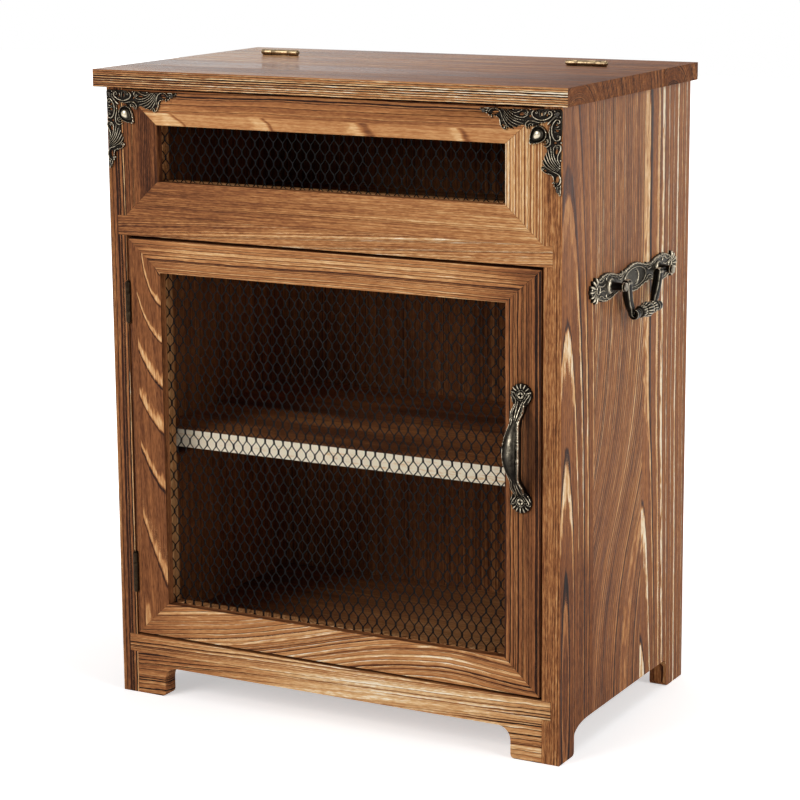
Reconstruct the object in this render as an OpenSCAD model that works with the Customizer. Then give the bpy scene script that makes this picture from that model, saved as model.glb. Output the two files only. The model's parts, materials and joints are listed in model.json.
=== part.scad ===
// Vegetable storage cabinet: lift-up lid over a top bin, mesh door over a shelf and a floor bin.
// Millimetres. Z is up, the door faces -Y, the origin is on the floor under the middle of the box.

/* [Overall size] */
// Width over the two side panels
body_w = 430; // [400:1:460]
// Depth of the side panels, front to back
body_d = 266; // [240:1:300]
// Height of the side panels
body_h = 542; // [520:1:580]

/* [Boards] */
// Thickness of the side panels
side_t = 16; // [14:0.5:19]
// Thickness of the floor board
floor_t = 16; // [14:0.5:18]
// Thickness of the divider under the top bin
divider_t = 17; // [14:0.5:19]
// Thickness of the shelf
shelf_t = 16; // [12:0.5:18]
// Thickness of the lid and of the fixed board behind it
top_t = 15; // [12:0.5:18]
// Thickness of the back panel
back_t = 5; // [3:0.5:8]
// How deep the divider, the floor and the back are let into the sides
let_in = 8; // [5:0.5:9]
// How far the top stands out past the sides
top_side_over = 8; // [4:0.5:12]
// How far the lid stands out past the front
top_front_over = 8.5; // [4:0.5:12]
// How far the top stops short of the back edge
top_back_inset = 4; // [1:0.5:8]
// Depth of the fixed board behind the lid
rear_top_d = 76; // [60:1:90]
// Joint between the lid and the fixed board
lid_joint = 1.2; // [1:0.1:1.6]
// Gap between the closed lid and the tops of the sides
lid_rest = 0.3; // [0.3:0.1:0.6]

/* [Levels] */
// Height of the underside of the floor board
floor_z = 38; // [32:1:50]
// Depth of the divider's underside below the tops of the side panels
divider_down = 128; // [118:1:140]
// Height of the underside of the shelf
shelf_z = 222.5; // [190:0.5:260]
// How far the shelf sits behind the front
shelf_back = 32; // [28:1:60]
// Width and height of the cleats under the shelf
cleat_w = 14; // [10:1:18]
// How far the cleats stop short of the shelf's edges
cleat_inset = 12; // [6:1:20]

/* [Feet] */
// Height of the arch under the side panels
side_arch_h = 25.5; // [20:0.5:30]
// Length of a side panel's front foot
front_foot = 30; // [24:1:40]
// Length of a side panel's rear foot
rear_foot = 37; // [28:1:45]
// Thickness of the apron
apron_t = 16; // [12:0.5:18]
// Height of the arch under the apron
apron_arch_h = 27; // [20:0.5:30]
// Length of each apron foot
apron_foot = 28.5; // [22:0.5:40]
// Rounding at the bottom of the feet
foot_round = 3.5; // [1:0.5:5]

/* [Window frame] */
// Thickness of the window and door frames
frame_t = 16; // [14:0.5:18]
// Gap between the window frame and the closed lid
frame_lid_gap = 2; // [1:0.1:3]
// Width of the window frame's uprights
window_stile_w = 34; // [28:0.5:40]
// Height of the window frame's lower rail
window_low_h = 31; // [26:0.5:34]
// Height of the window frame's upper rail
window_top_h = 29.5; // [26:0.5:34]

/* [Door] */
// Gap round the sides of the door
door_side_gap = 2; // [1.9:0.1:2.4]
// Gap above and below the door
door_end_gap = 2.5; // [1.5:0.1:4]
// Width of the door's uprights
door_stile_w = 32; // [28:0.5:38]
// Height of the door's lower rail
door_low_h = 30; // [26:0.5:36]
// Height of the door's upper rail
door_top_h = 28.5; // [26:0.5:36]

/* [Mesh and battens] */
// How far the mesh sits behind the face of its frame
mesh_back = 8.5; // [7:0.5:10]
// Thickness of the mesh
mesh_t = 0.8; // [0.6:0.1:1.2]
// Width of the rebate that holds the mesh and its battens
rebate_w = 7; // [5:0.5:9]
// Thickness of the battens behind the mesh
batten_t = 9.7; // [8:0.1:11]
// Width of the strands between the openings of the mesh
strand_w = 2.4; // [1.5:0.1:3]
// Openings across the door mesh
door_mesh_columns = 15; // [8:1:15]
// Rows of openings in the door mesh
door_mesh_rows = 14; // [8:1:15]
// Openings across the window mesh
window_mesh_columns = 15; // [8:1:15]
// Rows of openings in the window mesh
window_mesh_rows = 3; // [2:1:4]

/* [Hinges] */
// Length of a lid hinge
lid_hinge_l = 37; // [30:1:44]
// Distance of each lid hinge from the middle
lid_hinge_x = 152; // [120:1:165]
// Length of a door hinge
door_hinge_l = 35; // [30:1:44]
// Distance of each door hinge from the middle of the door
door_hinge_z = 121.5; // [90:0.5:130]
// Diameter of the hinge barrels
barrel_d = 4.6; // [4.2:0.1:5]
// Diameter of the hinge pins
pin_d = 2; // [1.8:0.1:2.2]
// Thickness of the hinge leaves
leaf_t = 0.9; // [0.8:0.05:0.9]
// How far the lid hinge pin stands above the top
lid_pin_up = 2.7; // [2.6:0.1:3]
// How far the door hinge pin stands in front of the door
door_pin_out = 1; // [1:0.1:1.6]

/* [Door pull] */
// Distance between the screws of the door pull
pull_pitch = 88; // [76:1:110]
// Height of the middle of the door pull
pull_z = 265; // [220:1:320]
// How far the middle of the pull stands out from the door
pull_out = 22; // [18:0.5:28]
// Diameter of the round ends of the pull
pull_end_d = 19; // [16:0.5:24]
// Thickness of the round ends of the pull
pull_end_t = 2.6; // [2:0.1:3.5]
// Width of the pull's grip at its middle
pull_w = 15; // [12:0.5:17]

/* [Side handles] */
// Distance of the handles behind the front
handle_y = 142; // [120:1:160]
// Depth of the handle posts below the tops of the side panels
handle_down = 155.5; // [150:0.5:190]
// Length of a handle's back plate
plate_l = 182; // [160:1:190]
// Half height of the back plate at its ends and middle
plate_half = 12; // [9:0.5:15]
// Thickness of the back plate
plate_t = 3; // [2:0.1:3.5]
// Distance between the two posts
post_pitch = 101; // [95:1:115]
// Diameter of the posts
post_d = 9.5; // [8.5:0.1:11]
// How far the posts stand out from the panel
post_out = 15; // [14:0.5:18]
// Diameter of the bolts behind the posts
bolt_d = 5; // [4:0.5:6]
// Distance from the bail's pin line to the panel
bail_out = 9.4; // [8.8:0.1:10]
// Diameter of the bail's pins
bail_pin_d = 4; // [3.4:0.1:4.4]
// Distance between the tops of the bail's arms
bail_top_w = 67; // [60:1:74]
// Distance between the lower ends of the bail's arms
bail_low_w = 52; // [44:1:58]
// Drop from the bail's pins to the middle of its grip
bail_drop = 27.5; // [24:0.5:32]
// How far the hanging grip stands out from the line below its pins
bail_lean = 4.5; // [2:0.5:5]
// Largest diameter of the grip
grip_d = 12; // [9:0.5:12.5]

/* [Corner brackets] */
// Length of a corner bracket along the frame
bracket_w = 72; // [60:1:80]
// Length of a corner bracket down the side panel
bracket_h = 68; // [56:1:76]
// Width of a bracket's arm at its leaf
bracket_band = 20; // [18:0.5:22]
// Thickness of a corner bracket
bracket_t = 1.6; // [1:0.1:2.5]
// Gap between the bracket and the closed lid
bracket_lid_gap = 2.5; // [1.5:0.1:4]
// Height of the raised bead at the bracket's corner
bead_h = 5; // [3:0.5:6]

/* [Hidden] */

$fn = 48;
eps = 0.01; // cuts run past a face by this much
nail_head_t = 0.7;
front_y = -(body_d + nail_head_t - pull_out) / 2; // the front faces of the sides, the frame and the door
back_y = front_y + body_d;
inner_w = body_w - 2 * side_t;
sides_top = body_h - lid_rest;
joint_y = back_y - top_back_inset - rear_top_d - lid_joint / 2; // middle of the joint behind the lid
top_w = body_w + 2 * top_side_over;

divider_z = body_h - divider_down;
handle_z = body_h - handle_down;
frame_low_z = divider_z + divider_t;
frame_high_z = body_h - frame_lid_gap;
door_w = inner_w - 2 * door_side_gap;
door_low_z = floor_z + floor_t + door_end_gap;
door_high_z = divider_z - door_end_gap;
door_mid_z = (door_low_z + door_high_z) / 2;
hinge_line_x = -inner_w / 2 + door_side_gap / 2;
hinge_line_y = front_y - door_pin_out;

side_arch_sweep_l = 28; // the long low curve behind a side panel's front foot
side_arch_sweep_h = 9;
side_arch_corner = 8; // the round in front of its rear foot
apron_corner_l = 11; // the rounds of the apron's arch
apron_corner_h = 12;

running_gap = 0.05; // radial play of a pin in its bore
knuckle_gap = 0.3; // between neighbouring hinge knuckles
barrel_pocket = 0.4; // round a hinge barrel
pin_end_gap = 0.2; // between the outer knuckles and the pin's heads
pin_head_t = 0.8;
lid_leaf_joint = 2 * leaf_t + 0.2; // over the two leaves of a lid hinge
lid_drop = lid_pin_up + 0.3; // from the pin to the top edges of the leaves
door_drop = barrel_d / 2 + barrel_pocket + 0.1;
lid_leaf_short = 2.5; // the lid hinges' leaves stop short of the top's underside by this
door_leaf_short = 3.5; // and the door hinges' leaves short of the frame's back
lid_leaf_w = top_t - lid_leaf_short;
door_leaf_w = frame_t - door_leaf_short;
shelf_play = 0.5; // at each end of the shelf
bolt_play = 0.3;
plate_scallops = 26; // along the edge of a back plate
bail_pin_past = 0.5; // how far a bail pin runs past the middle of its post
bail_bore_past = 1; // how far its bore does
leaf_screw_d = 2; // hinge leaf screws
leaf_screw_l = 9;
leaf_head_d = 3.6;
knuckle_share = 0.27; // each outer knuckle's share of a hinge's length
leaf_screw_share = 0.3; // where the screws sit, as a share of the length from the middle

wood_screw_d = 3;
screw_bite = 0.6; // share of a side panel's thickness that a screw goes into
cleat_screw_shares = [0.2, 0.8]; // where the screws sit along a cleat
nail_d = 1.4;
nail_head_d = 3.4;
nail_l = 14;
back_nails_up = 4; // nails up each side of the back
back_nails_across = 3; // nails into the floor and into the divider

mesh_edge = 0.5; // between the mesh and the shoulder of its rebate
batten_gap = 0.2; // where an upright batten meets a level one

pull_x = inner_w / 2 - door_side_gap - door_stile_w / 2 - 0.5;
pull_screw_d = 3.6;
pull_head_d = 7;
pull_head_t = 2;
pull_screw_l = 13;
pull_neck_w = 9.5;
pull_bar_t = 5;
pull_end_room = 1; // between a screw's head and the grip
pull_hollow_share = 0.94; // length of the hollow behind the grip against the grip's
pull_cut_over = 1.01; // the front outline runs this much past the grip's ends

catch_l = 44; // magnetic catch, against the right side panel
catch_w = 15;
catch_d = 14;
catch_gap = 0.4; // between the closed door's strike plate and the catch
catch_down = 70; // from the door's top edge to the middle of the catch
catch_z = door_high_z - catch_down;
catch_screw_pitch = 32;
strike_t = 1;
strike_w = 12;
strike_l = 36;
strike_screw_pitch = 24;
strike_screw_d = 2;
strike_screw_head_d = 3.8;
strike_screw_l = 9;
strike_inset = 3; // from the door's right edge
strike_y = front_y + frame_t;
strike_x = inner_w / 2 - door_side_gap - strike_inset - strike_w / 2;
catch_y = strike_y + strike_t + catch_gap;

post_base_over = 2.5; // the boss at a post's foot is this much wider than the post
post_base_d = post_d + post_base_over;
post_base_t = 1.2;
post_head_d = post_d - 0.8;
post_neck_d = post_d - 1.6;
post_head_t = 1.2;
washer_d = 12;
washer_t = 1;
nut_d = 9;
nut_t = 4;
bolt_past_nut = 1.5;
medallion_l = 46; // raised oval in the middle of a back plate
medallion_share = 0.62; // its height against the plate's
medallion_t = 1.2;
scallop_h = 0.5;
arm_deep = 5; // bail arm, across the panel's normal
arm_wide = 6; // bail arm, along the pin line
scroll_d = 11; // round end of a bail arm
grip_core = 0.62; // the grip's least radius, the swell of its middle and the height of its beads,
grip_swell = 0.14; // as shares of its largest radius
grip_beads = 0.24;

bead_in = 21.5; // from the outer edges to where a bracket's two arms meet
bead_back = 1.5; // from there back to the middle of the bead
bead_r = 7.2;
bead_point = 12; // from the middle of the bead's round end to its point
bead_rim_h = 1.2;
bead_rim_w = 1.5;
bracket_pin_in = 4; // pins from the corner and from the tips
bracket_tip_in = 3.2; // the tips' pins from the outer edge
bracket_pin_spots = [[bracket_pin_in, bracket_pin_in], [bracket_w - bracket_pin_in, bracket_tip_in],
    [bracket_tip_in, bracket_h - bracket_pin_in]];
bracket_top_z = body_h - bracket_lid_gap;
bracket_pin_d = 1.6;
bracket_pin_head = 3;
bracket_pin_l = 9;
bracket_pin_head_t = 0.8;

pine_dark = [0.36, 0.22, 0.15];
pine_mid = [0.55, 0.34, 0.20];
pine_warm = [0.62, 0.38, 0.21];
pine_pale = [0.80, 0.66, 0.48];
wire_black = [0.05, 0.05, 0.06];
bronze = [0.20, 0.18, 0.15];
brass = [0.62, 0.50, 0.32];
steel = [0.62, 0.62, 0.62];
zinc = [0.72, 0.70, 0.64];

// ---------- shared shapes ----------

// A box from its lowest corner and its size, in the frame of the front face
module board(x, y, z, w, d, h) {
    translate([x, front_y + y, z]) cube([w, d, h]);
}

// A shape and its copy on the other side of the middle
module both_sides() {
    children();
    mirror([1, 0, 0]) children();
}

// One corner of an arch: rounded foot, upright, then a curve a long and b high
function arch_corner(h, a, b) = concat(
    [[-foot_round, -1]],
    [for (t = [0:30:90]) [foot_round * (sin(t) - 1), foot_round * (1 - cos(t))]],
    [for (t = [0:15:90]) [a * (1 - cos(t)), h - b * (1 - sin(t))]]
);

// A whole arch of length l, with its own curve at each end
function arch_outline(l, h, a1, b1, a2, b2) =
    let (right = arch_corner(h, a2, b2))
    concat(
        arch_corner(h, a1, b1),
        [for (i = [len(right) - 1:-1:0]) [l - right[i].x, right[i].y]]
    );

// Lifts a flat outline drawn in X and Z to a plate of thickness t behind y
module upright(y, t) {
    translate([0, front_y + y + t, 0]) rotate([90, 0, 0]) linear_extrude(t) children();
}

// A screw along -Z with its head's top at the origin
module screw(d, l, head_d, head_t) {
    translate([0, 0, -head_t]) cylinder(d = head_d, h = head_t);
    translate([0, 0, -l]) cylinder(d = d, h = l - head_t + eps);
}

// A countersunk screw along -Z with its flat head flush at the origin
module flat_screw(d, l, head_d) {
    sink = (head_d - d) / 2;
    translate([0, 0, -sink]) cylinder(d1 = d, d2 = head_d, h = sink);
    translate([0, 0, -l]) cylinder(d = d, h = l - sink + eps);
}

// ---------- hinges ----------
// A hinge lies along X with its pin at the origin. Its two leaves hang into a joint, toward -Z.
// The inner leaf is on the -Y side and carries the middle knuckle. The outer leaf is on the +Y side.

module along_x(x) {
    translate([x, 0, 0]) rotate([0, 90, 0]) children();
}

module knuckle(x0, x1) {
    along_x(x0) difference() {
        cylinder(d = barrel_d, h = x1 - x0);
        translate([0, 0, -1]) cylinder(d = pin_d + 2 * running_gap, h = x1 - x0 + 2);
    }
}

// The thin web that joins a knuckle to its leaf
module web(x0, x1, side, drop, joint) {
    y0 = side < 0 ? -joint / 2 : joint / 2 - leaf_t;
    difference() {
        translate([x0, y0, -drop]) cube([x1 - x0, leaf_t, drop]);
        along_x(x0 - 1) cylinder(d = barrel_d - 0.4, h = x1 - x0 + 2);
    }
}

module leaf_plate(l, side, drop, joint, leaf_w) {
    y0 = side < 0 ? -joint / 2 : joint / 2 - leaf_t;
    translate([-l / 2, y0, -drop - leaf_w]) cube([l, leaf_t, leaf_w + eps]);
}

module leaf_screw_spots(l, side, drop, joint, leaf_w) {
    for (s = [-1, 1])
        translate([s * l * leaf_screw_share, side * (joint / 2 - leaf_t), -drop - leaf_w / 2])
            rotate([side * 90, 0, 0]) children();
}

module leaf_screws(l, side, drop, joint, leaf_w) {
    leaf_screw_spots(l, side, drop, joint, leaf_w)
        flat_screw(leaf_screw_d, leaf_screw_l, leaf_head_d);
}

module inner_leaf(l, drop, joint, leaf_w) {
    x = l * (0.5 - knuckle_share) - knuckle_gap / 2;
    difference() {
        union() {
            knuckle(-x, x);
            web(-x, x, -1, drop, joint);
            leaf_plate(l, -1, drop, joint, leaf_w);
        }
        leaf_screws(l, -1, drop, joint, leaf_w);
    }
}

module outer_leaf(l, drop, joint, leaf_w) {
    x = l * (0.5 - knuckle_share) + knuckle_gap / 2;
    difference() {
        union() {
            for (s = [0, 1]) mirror([s, 0, 0]) {
                knuckle(x, l / 2);
                web(x, l / 2, 1, drop, joint);
            }
            leaf_plate(l, 1, drop, joint, leaf_w);
        }
        leaf_screws(l, 1, drop, joint, leaf_w);
    }
}

module hinge_pin(l) {
    along_x(-l / 2 - pin_end_gap) cylinder(d = pin_d, h = l + 2 * pin_end_gap);
    for (s = [0, 1]) mirror([s, 0, 0])
        along_x(l / 2 + pin_end_gap) cylinder(d = pin_d + 1, h = pin_head_t);
}

// Room in the wood for a hinge's barrel and its pair of leaves
module hinge_room(l, drop, joint, leaf_w) {
    end_room = pin_end_gap + pin_head_t + barrel_pocket;
    along_x(-l / 2 - end_room) cylinder(d = barrel_d + 2 * barrel_pocket, h = l + 2 * end_room);
    translate([-l / 2, -joint / 2, -drop - leaf_w]) cube([l, joint, leaf_w + drop]);
}

module at_lid_hinges() {
    for (s = [-1, 1])
        translate([s * lid_hinge_x, joint_y, body_h + top_t + lid_pin_up]) children();
}

// Door hinges stand upright, with their leaves reaching back into the gap beside the door
module at_door_hinges() {
    for (s = [-1, 1])
        translate([hinge_line_x, hinge_line_y, door_mid_z + s * door_hinge_z])
            rotate([0, -90, 90]) children();
}

module lid_hinge_room() {
    at_lid_hinges() hinge_room(lid_hinge_l, lid_drop, lid_leaf_joint, lid_leaf_w);
}

module door_hinge_room() {
    at_door_hinges() hinge_room(door_hinge_l, door_drop, door_side_gap, door_leaf_w);
}

module lid_screws(side) {
    at_lid_hinges() leaf_screws(lid_hinge_l, side, lid_drop, lid_leaf_joint, lid_leaf_w);
}

module door_screws(side) {
    at_door_hinges() leaf_screws(door_hinge_l, side, door_drop, door_side_gap, door_leaf_w);
}

module lid_hinge_leaves() {
    color(brass) at_lid_hinges() inner_leaf(lid_hinge_l, lid_drop, lid_leaf_joint, lid_leaf_w);
}

module top_hinge_leaves() {
    color(brass) at_lid_hinges() outer_leaf(lid_hinge_l, lid_drop, lid_leaf_joint, lid_leaf_w);
}

module lid_hinge_pins() {
    color(steel) at_lid_hinges() hinge_pin(lid_hinge_l);
}

module lid_leaf_screws() {
    color(brass) lid_screws(-1);
}

module top_leaf_screws() {
    color(brass) lid_screws(1);
}

module door_hinge_leaves() {
    color(brass) at_door_hinges() inner_leaf(door_hinge_l, door_drop, door_side_gap, door_leaf_w);
}

module side_hinge_leaves() {
    color(brass) at_door_hinges() outer_leaf(door_hinge_l, door_drop, door_side_gap, door_leaf_w);
}

module door_hinge_pins() {
    color(steel) at_door_hinges() hinge_pin(door_hinge_l);
}

module door_leaf_screws() {
    color(brass) door_screws(-1);
}

module side_leaf_screws() {
    color(brass) door_screws(1);
}

// ---------- carcass ----------

module divider_slab(gap) {
    board(-inner_w / 2 - let_in, -gap, divider_z, inner_w + 2 * let_in,
        body_d - back_t + gap, divider_t);
}

module floor_slab(gap) {
    board(-inner_w / 2 - let_in, -gap, floor_z, inner_w + 2 * let_in,
        body_d - back_t + gap, floor_t);
}

module side_panel() {
    difference() {
        translate([-body_w / 2, front_y, 0]) cube([side_t, body_d, sides_top]);
        translate([-body_w / 2 - 1, front_y + front_foot, 0])
            rotate([90, 0, 90]) linear_extrude(side_t + 2)
                polygon(arch_outline(body_d - front_foot - rear_foot, side_arch_h,
                    side_arch_sweep_l, side_arch_sweep_h, side_arch_corner, side_arch_corner));
        divider_slab(1);
        floor_slab(1);
        board(-inner_w / 2 - let_in, body_d - back_t, floor_z, let_in + 1, back_t + 1, body_h);
        handle_bolt_holes();
        side_fixings();
    }
}

// What is screwed or nailed into both side panels
module side_fixings() {
    back_nail_set();
    mirror([1, 0, 0]) back_nail_set();
    bracket_pin_set();
    mirror([1, 0, 0]) bracket_pin_set();
    cleat_screw_set();
}

module left_side() {
    color(pine_dark) difference() {
        side_panel();
        door_hinge_room();
        door_screws(1);
    }
}

module right_side() {
    color(pine_dark) difference() {
        mirror([1, 0, 0]) side_panel();
        catch_screw_set();
    }
}

module divider_board() {
    color(pine_mid) difference() {
        divider_slab(0);
        back_nail_set();
        mirror([1, 0, 0]) back_nail_set();
    }
}

module floor_board() {
    color(pine_warm) difference() {
        floor_slab(0);
        back_nail_set();
        mirror([1, 0, 0]) back_nail_set();
    }
}

module back_panel() {
    color(pine_mid) difference() {
        board(-inner_w / 2 - let_in, body_d - back_t, floor_z, inner_w + 2 * let_in, back_t,
            sides_top - floor_z);
        back_nail_set();
        mirror([1, 0, 0]) back_nail_set();
    }
}

module shelf_board() {
    color(pine_pale)
        board(-inner_w / 2 + shelf_play, shelf_back, shelf_z, inner_w - 2 * shelf_play,
            body_d - back_t - shelf_back, shelf_t);
}

module shelf_cleats() {
    color(pine_mid) difference() {
        both_sides()
            board(-inner_w / 2, shelf_back + cleat_inset, shelf_z - cleat_w, cleat_w,
                body_d - back_t - shelf_back - 2 * cleat_inset, cleat_w);
        cleat_screw_set();
    }
}

module cleat_screw_set() {
    cleat_l = body_d - back_t - shelf_back - 2 * cleat_inset;
    both_sides()
        for (share = cleat_screw_shares)
            translate([-inner_w / 2 + cleat_w, front_y + shelf_back + cleat_inset + cleat_l * share,
                    shelf_z - cleat_w / 2])
                rotate([0, 90, 0]) flat_screw(wood_screw_d, cleat_w + side_t * screw_bite, 2 * wood_screw_d);
}

module cleat_screws() {
    color(zinc) cleat_screw_set();
}

module front_apron() {
    color(pine_warm) difference() {
        board(-inner_w / 2, 0, 0, inner_w, apron_t, floor_z);
        translate([-inner_w / 2 + apron_foot, front_y + apron_t + 1, 0])
            rotate([90, 0, 0]) linear_extrude(apron_t + 2)
                polygon(arch_outline(inner_w - 2 * apron_foot, apron_arch_h,
                    apron_corner_l, apron_corner_h, apron_corner_l, apron_corner_h));
    }
}

module rear_top_board() {
    color(pine_dark) difference() {
        translate([-top_w / 2, joint_y + lid_joint / 2, body_h])
            cube([top_w, rear_top_d, top_t]);
        lid_hinge_room();
        lid_screws(1);
    }
}

// Nails through the back panel of the left half, into the side, the floor and the divider
module back_nail_set() {
    span = sides_top - floor_z;
    for (i = [0:back_nails_up - 1])
        back_nail(-inner_w / 2 - let_in / 2, floor_z + span * (i + 0.6) / back_nails_up);
    for (i = [0:back_nails_across - 1]) {
        x = -inner_w / 2 * (i + 0.35) / back_nails_across;
        back_nail(x, floor_z + floor_t / 2);
        back_nail(x, divider_z + divider_t / 2);
    }
}

module back_nail(x, z) {
    translate([x, back_y + nail_head_t, z])
        rotate([-90, 0, 0]) screw(nail_d, nail_l + nail_head_t, nail_head_d, nail_head_t);
}

module back_nails() {
    color(steel) {
        back_nail_set();
        mirror([1, 0, 0]) back_nail_set();
    }
}

// ---------- frames, mesh and battens ----------
// A frame is given by its outer corners and its opening: [x0, z0, x1, z1].

window_outer = [-inner_w / 2, frame_low_z, inner_w / 2, frame_high_z];
window_open = [-inner_w / 2 + window_stile_w, frame_low_z + window_low_h,
    inner_w / 2 - window_stile_w, frame_high_z - window_top_h];
door_outer = [-door_w / 2, door_low_z, door_w / 2, door_high_z];
door_open = [-door_w / 2 + door_stile_w, door_low_z + door_low_h,
    door_w / 2 - door_stile_w, door_high_z - door_top_h];

function grown(box, by) = [box[0] - by, box[1] - by, box[2] + by, box[3] + by];

module slab(box, y, t) {
    board(box[0], y, box[1], box[2] - box[0], t, box[3] - box[1]);
}

module rail(outer, open, top) {
    side = top ? 3 : 1;
    frame_member(open, [[outer[0], outer[side]], [outer[2], outer[side]],
        [open[2], open[side]], [open[0], open[side]]]);
}

module stile(outer, open, right) {
    side = right ? 2 : 0;
    frame_member(open, [[outer[side], outer[1]], [outer[side], outer[3]],
        [open[side], open[3]], [open[side], open[1]]]);
}

module frame_member(open, corners) {
    difference() {
        upright(0, frame_t) polygon(corners);
        slab(grown(open, rebate_w), mesh_back, frame_t);
    }
}

// The right half of a six-sided opening, from its middle line
function half_cell(half_w, half_h, straight) =
    [[0, half_h], [half_w, straight / 2], [half_w, -straight / 2], [0, -half_h]];

// A sheet with rows of tall six-sided openings, half a pitch apart from row to row
module net(open, columns, rows) {
    pitch_x = (open[2] - open[0]) / columns;
    row_z = (open[3] - open[1]) / (rows + 1 / 3);
    mid_x = (open[0] + open[2]) / 2;
    straight = row_z / 3;
    half_w = pitch_x / 2 - strand_w / 2;
    half_h = straight / 2 + row_z * 2 / 3 - strand_w * 0.62;
    half = half_cell(half_w, half_h, straight);
    inset = rebate_w - mesh_edge;
    upright(mesh_back, mesh_t) difference() {
        translate([open[0] - inset, open[1] - inset])
            square([open[2] - open[0] + 2 * inset, open[3] - open[1] + 2 * inset]);
        for (row = [0:rows - 1]) {
            count = columns - row % 2;
            z = open[1] + row_z * (row + 2 / 3);
            for (i = [0:count - 1])
                translate([mid_x + (i - (count - 1) / 2) * pitch_x, z])
                    polygon([half[0], half[1], half[2], half[3], [-half_w, -straight / 2],
                        [-half_w, straight / 2]]);
            if (row % 2 == 1) {
                translate([open[0], z]) polygon(half);
                translate([open[2], z]) mirror([1, 0]) polygon(half);
            }
        }
    }
}

// Four strips that hold the mesh in its rebate, flush with the opening
module battens(open) {
    outer = grown(open, rebate_w);
    y = mesh_back + mesh_t;
    slab([outer[0], outer[1], outer[2], open[1]], y, batten_t);
    slab([outer[0], open[3], outer[2], outer[3]], y, batten_t);
    slab([outer[0], open[1] + batten_gap, open[0], open[3] - batten_gap], y, batten_t);
    slab([open[2], open[1] + batten_gap, outer[2], open[3] - batten_gap], y, batten_t);
}

module window_top_rail() {
    color(pine_warm) difference() {
        rail(window_outer, window_open, true);
        bracket_pin_set();
        mirror([1, 0, 0]) bracket_pin_set();
    }
}

module window_low_rail() {
    color(pine_mid) rail(window_outer, window_open, false);
}

module window_left_stile() {
    color(pine_mid) stile(window_outer, window_open, false);
}

module window_right_stile() {
    color(pine_warm) stile(window_outer, window_open, true);
}

module window_mesh() {
    color(wire_black) net(window_open, window_mesh_columns, window_mesh_rows);
}

module window_battens() {
    color(pine_mid) battens(window_open);
}

module door_top_rail() {
    color(pine_warm) rail(door_outer, door_open, true);
}

module door_low_rail() {
    color(pine_warm) rail(door_outer, door_open, false);
}

module door_left_stile() {
    color(pine_mid) difference() {
        stile(door_outer, door_open, false);
        door_hinge_room();
        door_screws(-1);
    }
}

module door_right_stile() {
    color(pine_mid) difference() {
        stile(door_outer, door_open, true);
        pull_screw_set();
        strike_screw_set();
    }
}

module door_mesh() {
    color(wire_black) net(door_open, door_mesh_columns, door_mesh_rows);
}

module door_battens() {
    color(pine_mid) battens(door_open);
}

// ---------- lid ----------

module lid_board() {
    color(pine_dark) difference() {
        translate([-top_w / 2, front_y - top_front_over, body_h])
            cube([top_w, joint_y - lid_joint / 2 - front_y + top_front_over, top_t]);
        lid_hinge_room();
        lid_screws(-1);
    }
}

// ---------- corner brackets ----------
// Drawn from the outer top corner. The first number runs along an arm, as a share of its length. The
// second runs across it, as a share of bracket_band, and the third is a hole's radius, as such a share.

bracket_inner_edge = [[0.30, 1], [0.40, 0.725], [0.52, 0.725], [0.58, 0.875], [0.66, 0.925],
    [0.70, 0.7], [0.74, 0.525], [0.84, 0.475], [0.90, 0.325], [1, 0.175]];
bracket_outer_edge = [[0.95, 0.075], [0.86, 0.05], [0.72, 0.03], [0.5, 0.07], [0.34, 0.03],
    [0.2, 0.01], [0, 0]];
bracket_holes = [[0.17, 0.3, 0.08], [0.46, 0.275, 0.1], [0.60, 0.45, 0.085], [0.82, 0.25, 0.08]];

// One arm's outline, with its inner edge back to the middle of the bead
module bracket_arm(reach) {
    difference() {
        polygon(concat(
            [[bead_in, bead_in]],
            [for (p = bracket_inner_edge) [p[0] * reach, p[1] * bracket_band]],
            [for (p = bracket_outer_edge) [p[0] * reach, p[1] * bracket_band]]
        ));
        for (h = bracket_holes)
            translate([h[0] * reach, h[1] * bracket_band]) circle(r = h[2] * bracket_band);
    }
}

// A round head at the origin drawn out to a point along the diagonal
module teardrop(r, point) {
    turn = acos(r / point);
    polygon(concat(
        [[point * cos(45), point * sin(45)]],
        [for (i = [0:12]) let (a = 45 + turn + (360 - 2 * turn) * i / 12) [r * cos(a), r * sin(a)]]
    ));
}

module at_bracket() {
    translate([-body_w / 2, front_y, bracket_top_z]) children();
}

// Stands a shape drawn in X and Y upright on the front face, with Y pointing down
module on_front() {
    at_bracket() rotate([90, 0, 0]) mirror([0, 1, 0]) children();
}

module bracket_pin_set() {
    on_front()
        for (spot = bracket_pin_spots)
            translate([spot.x, spot.y, bracket_t + bracket_pin_head_t])
                screw(bracket_pin_d, bracket_pin_l, bracket_pin_head, bracket_pin_head_t);
}

module bracket() {
    on_front() {
        linear_extrude(bracket_t) {
            bracket_arm(bracket_w);
            rotate(90) mirror([0, 1, 0]) bracket_arm(bracket_h);
        }
        translate([bead_in - bead_back, bead_in - bead_back, 0]) {
            linear_extrude(bracket_t + bead_rim_h) teardrop(bead_r, bead_point);
            translate([0, 0, bracket_t]) rotate_extrude() bead_profile();
        }
    }
}

// Half outline of the dome inside the rim
module bead_profile() {
    steps = 6;
    r = bead_r - bead_rim_w;
    polygon(concat(
        [[0, 0]],
        [for (i = [0:steps])
            [r * cos(i * 90 / steps), bead_rim_h + (bead_h - bead_rim_h) * sin(i * 90 / steps)]]
    ));
}

module left_bracket() {
    color(bronze) difference() {
        bracket();
        bracket_pin_set();
    }
}

module right_bracket() {
    color(bronze) mirror([1, 0, 0]) difference() {
        bracket();
        bracket_pin_set();
    }
}

module bracket_pins() {
    color(bronze) both_sides() bracket_pin_set();
}

// ---------- door pull ----------

module at_pull() {
    translate([pull_x, front_y, pull_z]) children();
}

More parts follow.
